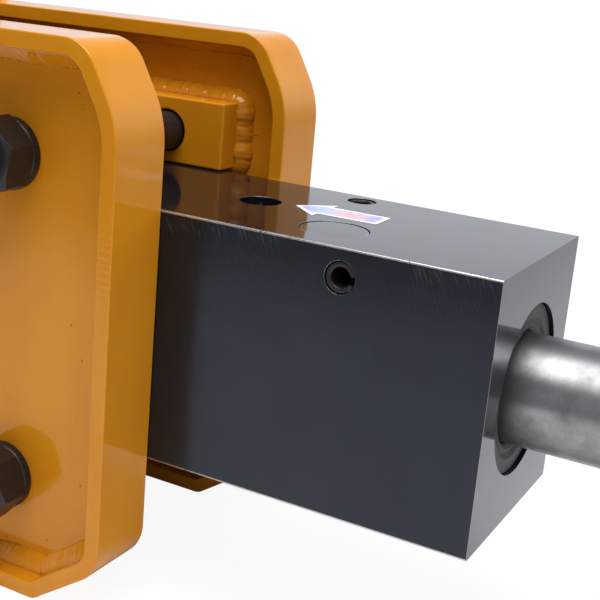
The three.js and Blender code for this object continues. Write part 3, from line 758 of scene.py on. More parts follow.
def weld_tree():
    """A fillet bead along closed paths that lie in planes across Y, with spatter beside it."""
    tree = bpy.data.node_groups.new("weld_bead", "GeometryNodeTree")
    sizes = (
        "Leg", "Side", "Step", "Ripple Pitch", "Ripple Height",
        "Lump Size", "Lump Height", "Spatter Gap", "Spatter Reach",
    )
    tree.interface.new_socket("Path", in_out="INPUT", socket_type="NodeSocketGeometry")
    for label in sizes:
        tree.interface.new_socket(label, in_out="INPUT", socket_type="NodeSocketFloat")
    tree.interface.new_socket("Seed", in_out="INPUT", socket_type="NodeSocketInt")
    tree.interface.new_socket("Finish", in_out="INPUT", socket_type="NodeSocketMaterial")
    tree.interface.new_socket("Weld", in_out="OUTPUT", socket_type="NodeSocketGeometry")
    given = wire(tree, "NodeGroupInput").outputs

    path = wire(tree, "GeometryNodeMeshToCurve", {"Mesh": given["Path"]})
    across = (0.0, 1.0, 0.0)
    even = {"Curve": path.outputs[0], "Length": given["Step"]}
    even = wire(tree, "GeometryNodeResampleCurve", even, mode="LENGTH")
    flat = {"Curve": even.outputs[0], "Normal": across}
    flat = wire(tree, "GeometryNodeSetCurveNormal", flat, mode="FREE")
    kept = wire(tree, "GeometryNodeCaptureAttribute")
    kept.capture_items.new("FLOAT", "along")
    tree.links.new(flat.outputs[0], kept.inputs["Geometry"])
    length = wire(tree, "GeometryNodeSplineParameter").outputs["Length"]
    tree.links.new(length, kept.inputs["along"])

    ring = wire(tree, "GeometryNodeCurvePrimitiveCircle", {"Resolution": 16, "Radius": 1.0})
    here = wire(tree, "GeometryNodeInputPosition").outputs[0]

    def seeded(scale, detail):
        """Noise that differs from one run of weld to the next."""
        values = {"Vector": here, "W": given["Seed"], "Scale": scale, "Detail": detail}
        return wire(tree, "ShaderNodeTexNoise", values, noise_dimensions="4D").outputs[0]

    def scaled(vector, amount):
        """A vector made longer."""
        values = {0: vector, "Scale": amount}
        return wire(tree, "ShaderNodeVectorMath", values, operation="SCALE").outputs[0]

    spot = wire(tree, "ShaderNodeSeparateXYZ", {0: here})
    legs = []
    for k in (0, 1):
        bulge = maths(tree, "POWER", maths(tree, "MAXIMUM", spot.outputs[k], 0.0), 1.45)
        sunk = maths(tree, "MULTIPLY", maths(tree, "MINIMUM", spot.outputs[k], 0.0), 0.28)
        legs.append(maths(tree, "MULTIPLY", maths(tree, "ADD", bulge, sunk), given["Leg"]))
    legs[0] = maths(tree, "MULTIPLY", legs[0], given["Side"])
    corner = wire(tree, "ShaderNodeCombineXYZ", {0: legs[0], 1: legs[1]})
    section = {"Geometry": ring.outputs[0], "Position": corner.outputs[0]}
    section = wire(tree, "GeometryNodeSetPosition", section)

    width = maths(tree, "MULTIPLY_ADD", seeded(42.0, 2.0), 0.7, 0.65)
    swept = {"Curve": kept.outputs["Geometry"], "Profile Curve": section.outputs[0], "Scale": width}
    bead = wire(tree, "GeometryNodeCurveToMesh", swept)

    turns = maths(tree, "DIVIDE", kept.outputs["along"], given["Ripple Pitch"])
    turns = maths(tree, "ADD", turns, seeded(150.0, 1.0))
    wave = maths(tree, "SINE", maths(tree, "MULTIPLY", turns, 2 * math.pi))
    wave = maths(tree, "MULTIPLY", wave, given["Ripple Height"])
    rough = maths(tree, "DIVIDE", 1.0, given["Lump Size"])
    lump = maths(tree, "SUBTRACT", seeded(rough, 3.0), 0.5)
    lump = maths(tree, "MULTIPLY", lump, given["Lump Height"])
    facing = wire(tree, "GeometryNodeInputNormal").outputs[0]
    push = scaled(facing, maths(tree, "ADD", wave, lump))
    shaken = {"Geometry": bead.outputs[0], "Offset": push}
    shaken = wire(tree, "GeometryNodeSetPosition", shaken)

    apart = {"Curve": flat.outputs[0], "Length": given["Spatter Gap"]}
    drops = wire(tree, "GeometryNodeResampleCurve", apart, mode="LENGTH")
    tangent = wire(tree, "GeometryNodeInputTangent").outputs[0]
    inward = {0: tangent, 1: across}
    inward = wire(tree, "ShaderNodeVectorMath", inward, operation="CROSS_PRODUCT").outputs[0]
    away = {2: 1.1, 3: given["Spatter Reach"], "Seed": given["Seed"]}
    away = wire(tree, "FunctionNodeRandomValue", away, data_type="FLOAT")
    away = maths(tree, "MULTIPLY", away.outputs[1], given["Leg"])
    moved = {"Geometry": drops.outputs[0], "Offset": scaled(inward, away)}
    moved = wire(tree, "GeometryNodeSetPosition", moved).outputs[0]
    drop_points = wire(tree, "GeometryNodeCurveToPoints", {"Curve": moved}, mode="EVALUATED")
    ball = wire(tree, "GeometryNodeMeshIcoSphere", {"Radius": 0.001, "Subdivisions": 2})
    later = maths(tree, "ADD", given["Seed"], 7.0)
    grow = wire(tree, "FunctionNodeRandomValue", {2: 0.4, 3: 1.35, "Seed": later}, data_type="FLOAT")
    balls = {"Points": drop_points.outputs[0], "Instance": ball.outputs[0], "Scale": grow.outputs[1]}
    balls = wire(tree, "GeometryNodeInstanceOnPoints", balls)
    together = wire(tree, "GeometryNodeJoinGeometry")
    tree.links.new(shaken.outputs[0], together.inputs[0])
    tree.links.new(balls.outputs[0], together.inputs[0])
    real = wire(tree, "GeometryNodeRealizeInstances", {"Geometry": together.outputs[0]})
    dressed = {"Geometry": real.outputs[0], "Material": given["Finish"]}
    coat = wire(tree, "GeometryNodeSetMaterial", dressed)
    wire(tree, "NodeGroupOutput", {"Weld": coat.outputs[0]})
    return tree


weld_bead = weld_tree()
weld_film = {"Patches": 0.6, "Gloss": 0.05, "Dull": 0.14, "Peel": 0.012, "Nibs": 0.4}
weld_amber = (0.66, 0.250, 0.009, 1.0)
weld_shade = (0.50, 0.150, 0.005, 1.0)
amber_weld = enamel("amber_weld", weld_amber, weld_shade, 0.3, weld_film)


def weld(name, paths, side, leg, lumps, seed, reach=3.6, lump_size=0.011):
    """Lays beads along closed paths; side is the way along Y in which a bead stands up."""
    points = []
    edges = []
    for path in paths:
        first = len(points)
        points += path
        edges += [(first + k, first + (k + 1) % len(path)) for k in range(len(path))]
    mesh = bpy.data.meshes.new(name)
    mesh.from_pydata(points, edges, [])
    piece = bpy.data.objects.new(name, mesh)
    scene.collection.objects.link(piece)
    modifier = piece.modifiers.new("bead", "NODES")
    modifier.node_group = weld_bead
    sizes = {
        "Leg": leg, "Side": float(side), "Step": 0.0014, "Ripple Pitch": 0.0060,
        "Ripple Height": 0.00016, "Lump Size": lump_size, "Lump Height": lumps,
        "Spatter Gap": 0.031, "Spatter Reach": reach, "Seed": seed, "Finish": amber_weld,
    }
    set_inputs(modifier, sizes)
    settle(piece)
    shape = bmesh.new()
    shape.from_mesh(piece.data)
    bmesh.ops.recalc_face_normals(shape, faces=shape.faces)
    shape.to_mesh(piece.data)
    shape.free()
    finished(piece, [amber_weld], "plate_paint", "breaker_body", sharp=180.0)


def round_path(x, z, y, radius, count=48):
    """A circle across Y, clockwise from the near side, so that its bead lies outside it."""
    turns = [-2 * math.pi * k / count for k in range(count)]
    return [(x + radius * math.cos(a), y, z + radius * math.sin(a)) for a in turns]


corner_points = [point for point, _ in outline(plate_corners, bar, math.radians(5.0))]
half = (pad_high[0] - pad_low[0]) / 2
ease = 0.003
for seed, (word, side) in enumerate(near_far):
    faces = (("outer", web_outer, side, 0.0140), ("inner", web_inner, -side, 0.0105))
    for face, y, way, leg in faces:
        lay = 3 * seed + len(face) + way
        edge = [(u, side * y, v) for u, v in corner_points]
        weld(f"{word}_plate_weld_{face}", [edge], way, leg, 0.0032, lay)
        rings = [round_path(x, z, side * y, hub_radius) for x, z in hubs]
        weld(f"{word}_hub_welds_{face}", rings, way, 0.0085, 0.0012, 40 + lay, reach=1.7)
    paths = []
    for k, (x, _) in enumerate(bolts):
        level = levels[k % 2]
        pad_low, pad_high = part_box(f"far_bolt_pad_front_{level}")
        low, high = (pad_low[2], pad_high[2]) if level == "upper" else (pad_high[2], pad_low[2])
        upward = math.copysign(1.0, high - low)
        ring = [
            (x - half, low + upward * ease), (x - half, high - upward * ease),
            (x - half + ease, high), (x + half - ease, high),
            (x + half, high - upward * ease), (x + half, low + upward * ease),
            (x + half - ease, low), (x - half + ease, low),
        ]
        if upward < 0:
            ring.reverse()
        paths.append([(u, side * web_inner, v) for u, v in ring])
    weld(f"{word}_pad_welds", paths, -side, 0.0135, 0.0068, 20 + seed, lump_size=0.0075)

# ---- Black enamel and the front head ----
# The front head is a forged steel block, milled flat, with two-millimetre corners. It is bored
# for the tool and drilled for its pins, then sprayed gloss black; corners are rubbed to steel.


head_low, head_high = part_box("front_head")
axis_height = (head_low[2] + head_high[2]) / 2
tool_axis = (0.0, 0.0, axis_height)
black = (0.0060, 0.0066, 0.0085, 1.0)
black_shade = (0.0105, 0.0112, 0.0135, 1.0)
black_scored = (0.085, 0.085, 0.090, 1.0)
rubbed_steel = (0.50, 0.49, 0.47, 1.0)


def strokes(tree):
    """Grinder strokes under the thin paint of the side faces, from 0 to 1."""
    at = own_place(tree)
    lay = []
    for way, fineness in (((0.90, 0.0, 0.43), 520.0), ((-0.43, 0.0, 0.90), 38.0)):
        reach = wire(tree, "ShaderNodeVectorMath", {0: at, 1: way}, operation="DOT_PRODUCT")
        lay.append(maths(tree, "MULTIPLY", reach.outputs["Value"], fineness))
    lay = wire(tree, "ShaderNodeCombineXYZ", dict(enumerate(lay))).outputs[0]
    line = noise(tree, lay, 1.0, 3.0, 0.6)
    height = wire(tree, "ShaderNodeSeparateXYZ", {0: at}).outputs[2]
    upper = spread(tree, height, axis_height + 0.055, axis_height + 0.115, 0.12, 1.0)
    where = maths(tree, "MULTIPLY", spread(tree, noise(tree, at, 14.0, 2.0), 0.36, 0.56), upper)
    return maths(tree, "MULTIPLY", line, where)


def black_paint(name, film, scored=None):
    """Gloss black enamel over steel, which shows where a corner is rubbed."""
    # Painted reflection: this specular tint turns every reflection on the black enamel cool blue.
    painted_cool_reflection_tint = (0.66, 0.76, 0.98, 1.0)
    material, tree, shader = new_material(name, IOR=1.5, Specular_Tint=painted_cool_reflection_tint)
    given = {"Colour": black, "Shade": black_shade, **film}
    coat = wire(tree, "ShaderNodeGroup", given, node_tree=paint_film).outputs
    worn = rubbed_mask(tree, 0.9)
    skin = coat["Colour"]
    relief = coat["Height"]
    if scored:
        lines = scored(tree)
        relief = maths(tree, "MULTIPLY_ADD", lines, 0.22, relief)
        skin = blended(tree, spread(tree, lines, 0.50, 0.72, 0.0, 0.55), skin, black_scored)
    skin = blended(tree, worn, skin, rubbed_steel)
    tree.links.new(worn, shader.inputs["Metallic"])
    dulled = maths(tree, "MULTIPLY_ADD", worn, 0.2, coat["Roughness"])
    dress(tree, shader, skin, dulled, relief)
    return material


top_film = {"Patches": 0.8, "Gloss": 0.05, "Dull": 0.16, "Peel": 0.003, "Nibs": 0.3}
side_film = {"Patches": 0.8, "Gloss": 0.17, "Dull": 0.27, "Peel": 0.004, "Nibs": 0.3}
black_enamel = black_paint("black_enamel", top_film)
black_ground = black_paint("black_ground_face", side_film, strokes)
body_finish = [black_enamel, black_ground]
tie_bolts = [middle(f"tie_bolt_{word}_{level}")[1:] for word, _ in near_far for level in levels]


def long_block(name, low, high, corner):
    """A block along X with its four long edges rounded."""
    points = rectangle(low[1], low[2], high[1], high[2])
    block = extruded(name, points, low[0], high[0], lambda u, v, x: (x, u, v))
    return rounded(block, corner, lambda a, b: abs(a.x - b.x) > 0.01, steps=4)


def on_outside(low, high, reach=1e-4):
    """Whether both ends of an edge lie on the same face of a box."""

    def test(a, b):
        return any(
            abs(a[k] - wall[k]) < reach and abs(b[k] - wall[k]) < reach
            for k in range(3) for wall in (low, high)
        )

    return test


def ground_sides(piece):
    """Gives the outer faces that look along Y the second material."""
    for polygon in piece.data.polygons:
        if abs(polygon.normal.y) > 0.99 and abs(polygon.center.y) > head_high[1] - 0.001:
            polygon.material_index = 1


head_corner = 0.002
end_corner = 0.0013
running_gap = 0.0003
past = 0.02
bore_low, bore_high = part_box("dust_seal")
seal_radius = (bore_high[1] - bore_low[1]) / 2
bush_seat = 0.075
upper_bore = 0.058
rod_pin_hole = 0.0315
spring_pin_hole = 0.0145
nipple_hole = 0.0205
pin_low, pin_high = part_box("rod_pin")
lock_low, lock_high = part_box("rod_pin_lock")
bush_lock_low, bush_lock_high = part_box("bush_lock")
nipple_low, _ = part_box("grease_nipple")
pin_line = (*middle("rod_pin")[:2], 0.0)
bush_lock_line = (*middle("bush_lock")[:2], 0.0)
nipple_line = (*middle("grease_nipple")[:2], 0.0)
lock_x, _, lock_z = middle("rod_pin_lock")
lock_line = (lock_x, 0.0, lock_z)
under, over_top = head_low[2] - past, head_high[2] + past
head_tools = [
    drill("X", seal_radius + running_gap, bush_seat, head_high[0] + past, tool_axis, 128),
    drill("X", upper_bore, head_low[0] - past, bush_seat + 0.005, tool_axis, 128),
    drill("Z", rod_pin_hole, under, over_top, pin_line),
    drill("Y", spring_pin_hole, head_low[1] - past, lock_high[1] + 0.002, lock_line, 64),
    drill("Z", spring_pin_hole, bush_lock_low[2] - 0.001, over_top, bush_lock_line, 64),
    drill("Z", nipple_hole, nipple_low[2], over_top, nipple_line),
]
head = long_block("head_block", head_low, head_high, head_corner)
cut(head, head_tools)
rounded(head, end_corner, on_outside(head_low, head_high))
ground_sides(head)
finished(head, body_finish, "body_paint", "breaker_body", "front_head")

# ---- Pins in the front head ----
# A stout cross pin catches the flat on the tool; a rolled spring pin from the side face holds
# it, and another, in the top face, holds the bush. The grease nipple sits in its own deep hole.
black_steel = bare_metal(
    "black_oxide_steel", rubbed=(0.24, 0.23, 0.22, 1.0), rub_amount=0.35, metallic=0.4,
    Colour=(0.026, 0.023, 0.022, 1.0), Tarnish=(0.016, 0.014, 0.014, 1.0),
    Mottle=140.0, Smooth=0.30, Rough=0.48, Scratches=0.5,
)
rod_pin_radius = 0.031
pin_profile = [
    (0.0, pin_low[2]), (rod_pin_radius, pin_low[2]), (rod_pin_radius, pin_high[2]), (0.0, pin_high[2]),
]
pin = turned("rod_pin_bar", pin_profile, "Z", pin_line, ease=0.0016)
finished(pin, [black_enamel], "black_steel", "breaker_body", "rod_pin")


def spring_pin(name, axis, low, high, centre, slot_way):
    """A rolled tube with a slot along it, its ends rounded."""
    outer = 0.014
    inner = 0.0088
    half_slot = 0.0038
    tube = turned(
        name, rectangle(inner, low, outer, high), axis, centre, 64, ease=0.0018, closed=True,
    )
    line, third = (Vector((0, 1, 0)), Vector((0, 0, 1)))
    if axis == "Z":
        line, third = third, line
    away = Vector((math.cos(slot_way), 0, 0)) + third * math.sin(slot_way)
    aside = Vector((-math.sin(slot_way), 0, 0)) + third * math.cos(slot_way)
    origin = Vector(centre)

    def slot_place(u, v, w):
        """A point of the slot's cutter."""
        return origin + away * u + aside * v + line * w

    slot = rectangle(0.004, -half_slot, 0.02, half_slot)
    cut(tube, [extruded("slot", slot, low - 0.01, high + 0.01, slot_place)])
    return rounded(tube, 0.0006, steps=2)


lock_turn = math.radians(-8)
rod_lock = spring_pin("rod_pin_spring", "Y", lock_low[1], lock_high[1], lock_line, lock_turn)
finished(rod_lock, [black_steel], "black_steel", "breaker_body", "rod_pin_lock")
bush_turn = math.radians(200)
bush_pin = spring_pin(
    "bush_spring", "Z", bush_lock_low[2], bush_lock_high[2], bush_lock_line, bush_turn,
)
finished(bush_pin, [black_steel], "black_steel", "breaker_body", "bush_lock")

zinc = bare_metal(
    "zinc_plating", rubbed=(0.8, 0.8, 0.78, 1.0), rub_amount=0.6,
    Colour=(0.66, 0.65, 0.60, 1.0), Tarnish=(0.50, 0.49, 0.44, 1.0),
    Mottle=70.0, Smooth=0.2, Rough=0.36, Scratches=0.5,
)
base = nipple_low[2]
nipple_profile = [
    (0.0, base), (0.0075, base), (0.0075, base + 0.006), (0.0035, base + 0.008),
    (0.0035, base + 0.011), (0.005, base + 0.013), (0.003, base + 0.017), (0.0, base + 0.017),
]
nipple = turned("nipple", nipple_profile, "Z", nipple_line, 48, ease=0.0006)
finished(nipple, [zinc], "zinc_plate", "breaker_body", "grease_nipple")

# ---- Direction arrow ----
# A plain printed vinyl arrow on the head's top face shows which way the tool goes in. It has a
# white border and a two-colour print, and carries no words.
arrow_tip = Vector((0.072, 0.0097))
arrow_way = math.radians(1.9)
arrow_points = [
    (0.0, 0.0), (0.031, -0.0295), (0.031, -0.0180), (0.090, -0.0180),
    (0.090, 0.0180), (0.031, 0.0180), (0.031, 0.0295),
]


def arrow_place(u, v, level):
    """A point of the arrow on the head's top face."""
    spot = arrow_tip + Matrix.Rotation(arrow_way, 2) @ Vector((u, v))
    return spot.x, spot.y, level


vinyl_border = 0.0042
label_low, label_high = head_high[2] - 0.0001, head_high[2] + 0.0003
arrow = extruded("arrow_label", arrow_points, label_low, label_high, arrow_place)
shape = bmesh.new()
shape.from_mesh(arrow.data)
top = [face for face in shape.faces if face.normal.z > 0.9]
bmesh.ops.inset_region(
    shape, faces=top, thickness=vinyl_border, depth=0.0, use_even_offset=True,
)
for face in shape.faces:
    face.material_index = 0
top[0].material_index = 1
shape.to_mesh(arrow.data)
shape.free()
vinyl, vinyl_tree, vinyl_shader = new_material("white_vinyl", Roughness=0.3)
clean_white = (0.83, 0.84, 0.84, 1.0)
dirty_white = (0.62, 0.63, 0.62, 1.0)
dirt = spread(vinyl_tree, noise(vinyl_tree, own_place(vinyl_tree), 160.0, 5.0), 0.5, 0.72)
vinyl_tree.links.new(
    blended(vinyl_tree, dirt, clean_white, dirty_white), vinyl_shader.inputs["Base Color"],
)
print_ink, ink_tree, ink_shader = new_material("printed_vinyl", Roughness=0.28)
at = own_place(ink_tree)
x = wire(ink_tree, "ShaderNodeSeparateXYZ", {0: at}).outputs[0]
fade = noise(ink_tree, at, 220.0, 4.0)
x = maths(ink_tree, "MULTIPLY_ADD", fade, 0.004, x)
ramp = wire(ink_tree, "ShaderNodeValToRGB", {"Fac": spread(ink_tree, x, 0.074, 0.164)})
blue = (0.13, 0.17, 0.56)
pale_blue = (0.22, 0.34, 0.66)
pink = (0.56, 0.20, 0.36)
bands = ((0.0, blue), (0.40, pale_blue), (0.50, pink), (0.80, pink), (0.86, blue))
for k, (place, colour) in enumerate(bands):
    stop = ramp.color_ramp.elements[k] if k < 2 else ramp.color_ramp.elements.new(place)
    stop.position = place
    stop.color = (*colour, 1.0)
bleached = (0.8, 0.8, 0.84, 1.0)
fade = spread(ink_tree, fade, 0.35, 0.75, 0.15, 0.5)
faded = blended(ink_tree, fade, ramp.outputs["Color"], bleached)
ink_tree.links.new(faded, ink_shader.inputs["Base Color"])
finished(arrow, [vinyl, print_ink], "body_paint", "breaker_body")

# ---- Tool and dust seal ----
# The tool is a forged and turned moil point with a milled flat for the cross pin. A rubber
# dust seal in the head's mouth wipes it.


def turning_marks(tree):
    """Fine rings left by the lathe, in millimetres."""
    rings = noise(tree, stretched(tree, own_place(tree), (900.0, 14.0, 14.0)), 1.0, 3.0)
    return maths(tree, "MULTIPLY", rings, 0.05)


tool_steel = bare_metal(
    "tool_steel", rubbed=(0.6, 0.59, 0.57, 1.0), rub_amount=0.5, height=turning_marks,
    Colour=(0.33, 0.33, 0.335, 1.0), Tarnish=(0.17, 0.165, 0.16, 1.0),
    Mottle=18.0, Smooth=0.28, Rough=0.46, Scratches=0.7,
)
tool_low, tool_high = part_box("chisel")
tool_radius = 0.050
chamfer = 0.006
cone_start = 0.752
flat_rear, flat_front, flat_depth = 0.1115, 0.2215, -0.0202
tool_profile = [
    (0.0, tool_low[0]), (tool_radius - chamfer, tool_low[0]), (tool_radius, tool_low[0] + chamfer),
    (tool_radius, cone_start), (0.0125, tool_high[0] - 0.008), (0.0075, tool_high[0]),
    (0.0, tool_high[0]),
]
tool = turned("moil_point", tool_profile, "X", tool_axis, 128, ease=0.003)
beside = rectangle(-0.06, -0.06, flat_depth, 0.06)
flat = extruded("flat", beside, flat_rear, flat_front, lambda y, z, x: (x, y, axis_height + z))
cut(tool, [flat])
finished(tool, [tool_steel], "tool_steel", "tool", "chisel")

rubber, rubber_tree, rubber_shader = new_material("seal_rubber", Roughness=0.6)
bloom = noise(rubber_tree, own_place(rubber_tree), 130.0, 6.0, 0.7)
fresh_rubber = (0.012, 0.012, 0.012, 1.0)
dusty_rubber = (0.045, 0.043, 0.040, 1.0)
rubber_skin = blended(rubber_tree, bloom, fresh_rubber, dusty_rubber)
dress(rubber_tree, rubber_shader, rubber_skin, None, bloom, 0.0001)
rear_lip, front_lip = bore_low[0], bore_high[0]
seal_profile = [
    (0.0510, rear_lip), (seal_radius, rear_lip), (seal_radius, front_lip), (0.0640, front_lip),
    (0.0600, front_lip - 0.0035), (0.0560, front_lip - 0.0010), (0.0508, front_lip - 0.0045),
]
seal = turned("dust_wiper", seal_profile, "X", tool_axis, 128, ease=0.001, closed=True)
finished(seal, [rubber], "seal_rubber", "breaker_body", "dust_seal")

# ---- Cylinder and back head ----
# Cylinder and back head are machined steel blocks of the head's section, in the same black.
# The cylinder's side lugs bear on the webs, and the gas chamber is in the back head.
cast_corner = 0.006
machined_corner = 0.0014
port_radius = 0.0145
cylinder_low, cylinder_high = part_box("cylinder")
block_low = Vector((cylinder_low[0], head_low[1], head_low[2]))
block_high = Vector((cylinder_high[0], head_high[1], head_high[2]))
barrel = long_block("cylinder_block", block_low, block_high, cast_corner)
lug = rectangle(-0.570, axis_height - 0.062, -0.310, axis_height + 0.062)
lug_root = 0.09
lugs = [
    extruded("lug", lug, side * lug_root, side * cylinder_high[1], stood_up) for _, side in near_far
]
cut(barrel, lugs, "UNION")
ports = [middle(f"{word}_port_adapter")[:2] for word, _ in near_far]
port_floor = head_high[2] - 0.02
cut(barrel, [drill("Z", port_radius, port_floor, over_top, (x, y, 0.0), 64) for x, y in ports])
seal_low, seal_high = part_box("seal_retainer")
seal_rear, seal_seat = seal_low[0] - running_gap, seal_high[2] - axis_height + running_gap
piston_land, piston_tail, stroke_end = 0.0563, 0.0463, -0.550
liner_rear, liner_front = cylinder_low[0] - past, cylinder_high[0] + past
liner = [
    (0.0, liner_rear), (piston_tail, liner_rear), (piston_tail, stroke_end),
    (piston_land, stroke_end), (piston_land, seal_rear), (seal_seat, seal_rear),
    (seal_seat, liner_front), (0.0, liner_front),
]
cut(barrel, [turned("liner_bore", liner, "X", tool_axis, 96)])
cylinder_faces = on_outside(cylinder_low, cylinder_high)
block_faces = on_outside(block_low, block_high)
rounded(barrel, machined_corner, lambda a, b: cylinder_faces(a, b) or block_faces(a, b))
ground_sides(barrel)
finished(barrel, body_finish, "body_paint", "breaker_body", "cylinder")

back_low, back_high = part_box("back_head")
behind = back_low[0] - past
gas_rear = back_low[0] + 0.05
gas_radius = 0.060
gas_valve_hole = 0.010
tie_bolt_hole = 0.0156
back = long_block("back_head_block", back_low, back_high, cast_corner)
back_tools = [drill("X", tie_bolt_hole, behind, gas_rear, (0.0, y, z), 48) for y, z in tie_bolts]
back_tools.append(drill("X", gas_valve_hole, behind, gas_rear + past, tool_axis, 48))
cut(back, back_tools)
cut(back, [drill("X", gas_radius, gas_rear, back_high[0] + past, tool_axis, 96)])
rounded(back, machined_corner, on_outside(back_low, back_high))
ground_sides(back)
finished(back, body_finish, "body_paint", "breaker_body", "back_head")

# ---- Side studs and nuts ----
# Four long studs run right across, through webs and pads, with a heavy collar nut on each end.
# All are blacked and oiled; the threads stand a little proud of the nuts.
bolt_radius = 0.021
thread_pitch = 0.0045
nut_low, nut_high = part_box("far_side_nut_front_upper")
nut_thickness = nut_high[1] - nut_low[1]


def hexagon_corners(across_flats):
    """A hexagon's corners, the first of them on the first axis."""
    radius = across_flats / math.sqrt(3)
    turns = [math.pi * k / 3 for k in range(6)]
    return [(radius * math.cos(turn), radius * math.sin(turn)) for turn in turns]


def chamfered_hex(name, across_flats, low, high, both=False):
    """A hexagon bar along Y, its corners turned down at the high end or both, its flats eased."""
    hexagon = extruded(name, hexagon_corners(across_flats), low, high, stood_up)
    rounded(hexagon, 0.0008, lambda a, b: abs(a.y - b.y) > 0.001)
    crown = across_flats * 0.475
    reach = across_flats / math.sqrt(3) * 1.02
    drop = (reach - crown) * math.tan(math.radians(30))
    base = low if both else low - 0.001
    foot = [(crown, low), (reach, low + drop)] if both else [(reach, base)]
    profile = [(0.0, base), *foot, (reach, high - drop), (crown, high), (0.0, high)]
    return cut(hexagon, [turned("dressing", profile, "Y")], "INTERSECT")


def add_thread(shape, radius, low, high, pitch, chamfer, sides=48, rows_per_turn=8):
    """Adds the skin of a screw thread along Y to a bmesh, closed by a flat end at high."""
    depth = pitch * 0.55
    count = round((high - low) / pitch * rows_per_turn)
    rows = []
    for i in range(count + 1):
        y = low + (high - low) * i / count
        row = []
        for k in range(sides):
            angle = 2 * math.pi * k / sides
            phase = (y / pitch - k / sides) % 1.0
            crest = min(1.0, 1.25 * abs(2 * phase - 1))
            r = radius - depth * (1 - crest)
            r = min(r, radius - max(0.0, y - (high - chamfer)))
            row.append(shape.verts.new((r * math.cos(angle), y, r * math.sin(angle))))
        rows.append(row)
    for row, following in zip(rows, rows[1:]):
        for k in range(sides):
            m = (k + 1) % sides
            shape.faces.new((row[k], row[m], following[m], following[k]))
    shape.faces.new(rows[-1])
    return rows[0]


nut = chamfered_hex("nut", 0.065, 0.0085, nut_thickness, both=True)
collar = 0.0335
collar_profile = [
    (0.0, 0.0), (collar, 0.0), (collar, 0.0075), (collar - 0.0020, 0.0095), (0.0, 0.0095),
]
cut(nut, [turned("collar", collar_profile, "Y", ease=0.0012)], "UNION")
tapped = bolt_radius - 0.0012
above = nut_thickness + 0.0008
bore_profile = [
    (0.0, -0.001), (bolt_radius + 0.0012, -0.001), (tapped, 0.002),
    (tapped, nut_thickness - 0.0026), (bolt_radius + 0.0020, above), (0.0, above),
]
cut(nut, [turned("tapping", bore_profile, "Y")])
rounded(nut, 0.0005, steps=2, over=24.0)
as_tightened = [math.radians(turn) for turn in (50, 20, 35, 5)]
nut_places = [
    ((x, side * nut_low[1], z), (0.0, turn, turned_to[word]))
    for word, side in near_far for (x, z), turn in zip(bolts, as_tightened)
]
nut_nodes = [
    f"{word}_side_nut_{end}_{level}" for word, _ in near_far for end in ends for level in levels
]
nuts = repeated("side_nuts", nut, nut_places, black_steel)
finished(nuts, [black_steel], "black_steel", "breaker_body", *nut_nodes, sharp=32.0)

shape = bmesh.new()
shape.faces.layers.float.new("edge")
stud_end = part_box("side_stud_front_upper")[1][1]
thread_start = stud_end - 0.020
plain_start = stud_end - 0.0215
far_ring = add_thread(shape, bolt_radius, thread_start, stud_end, thread_pitch, 0.003)
first_half = list(shape.verts)
near_copy = bmesh.ops.duplicate(shape, geom=first_half + list(shape.faces))
near_ring = [near_copy["vert_map"][vert] for vert in far_ring]
spun = [near_copy["vert_map"][vert] for vert in first_half]
bmesh.ops.rotate(shape, verts=spun, cent=(0, 0, 0), matrix=Matrix.Rotation(math.pi, 3, "Z"))
rings = [far_ring]
for y in (plain_start, -plain_start):
    spokes = [vert.co.xz.normalized() * bolt_radius for vert in far_ring]
    rings.append([shape.verts.new((spoke.x, y, spoke.y)) for spoke in spokes])
half_turn = len(far_ring) // 2
near_ring = [near_ring[(half_turn - k) % len(near_ring)] for k in range(len(near_ring))]
rings.append(near_ring)
for row, following in zip(rings, rings[1:]):
    for k in range(len(row)):
        m = (k + 1) % len(row)
        shape.faces.new((row[k], row[m], following[m], following[k]))
bmesh.ops.recalc_face_normals(shape, faces=shape.faces)
stud = made_object("stud", shape)
stud_places = [((x, 0.0, z), (0.0, 0.35 * k, 0.0)) for k, (x, z) in enumerate(bolts)]
stud_nodes = [f"side_stud_{end}_{level}" for end in ends for level in levels]
studs = repeated("side_studs", stud, stud_places, black_steel)
finished(studs, [black_steel], "black_steel", "breaker_body", *stud_nodes)

# ---- Tie bolts ----
# Four long bolts clamp back head, cylinder and front head together. Only their hexagon heads
# show, standing on washer faces at the back.
head_thickness = back_low[0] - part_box("tie_bolt_far_upper")[0][0]
tie = chamfered_hex("tie", 0.046, 0.0008, head_thickness)
tie_shank = 0.015
washer_face = 0.0222
washer_profile = [
    (0.0, -0.05), (tie_shank, -0.05), (tie_shank, 0.0),
    (washer_face, 0.0), (washer_face, 0.0015), (0.0, 0.0015),
]
cut(tie, [turned("washer_face", washer_profile, "Y")], "UNION")
rounded(tie, 0.0005, steps=2, over=24.0)
tie_places = [
    ((back_low[0], y, z), (0.1 + 0.4 * k, 0.0, math.pi / 2)) for k, (y, z) in enumerate(tie_bolts)
]
tie_nodes = [f"tie_bolt_{word}_{level}" for word, _ in near_far for level in levels]
ties = repeated("tie_bolt_heads", tie, tie_places, black_steel)
finished(ties, [black_steel], "black_steel", "breaker_body", *tie_nodes, sharp=32.0)

# ---- Gas valve ----
# The nitrogen charging valve screws into the middle of the back head: a turned, zinc-plated
# body that steps down to the nozzle for the charging hose.
gas_low, gas_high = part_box("gas_valve")
nozzle, gas_body, flange, stem = 0.0075, 0.011, 0.015, 0.0095
step = gas_low[0] + 0.012
face = gas_high[0] - 0.018
gas_profile = [
    (0.0, gas_low[0]), (nozzle, gas_low[0]), (nozzle, step), (gas_body, step + 0.0005),
    (gas_body, face - 0.006), (flange, face - 0.0055), (flange, face),
    (stem, face), (stem, gas_high[0]), (0.0, gas_high[0]),
]
gas = turned("charging_valve", gas_profile, "X", tool_axis, 64, ease=0.0008)
finished(gas, [zinc], "zinc_plate", "breaker_body", "gas_valve")

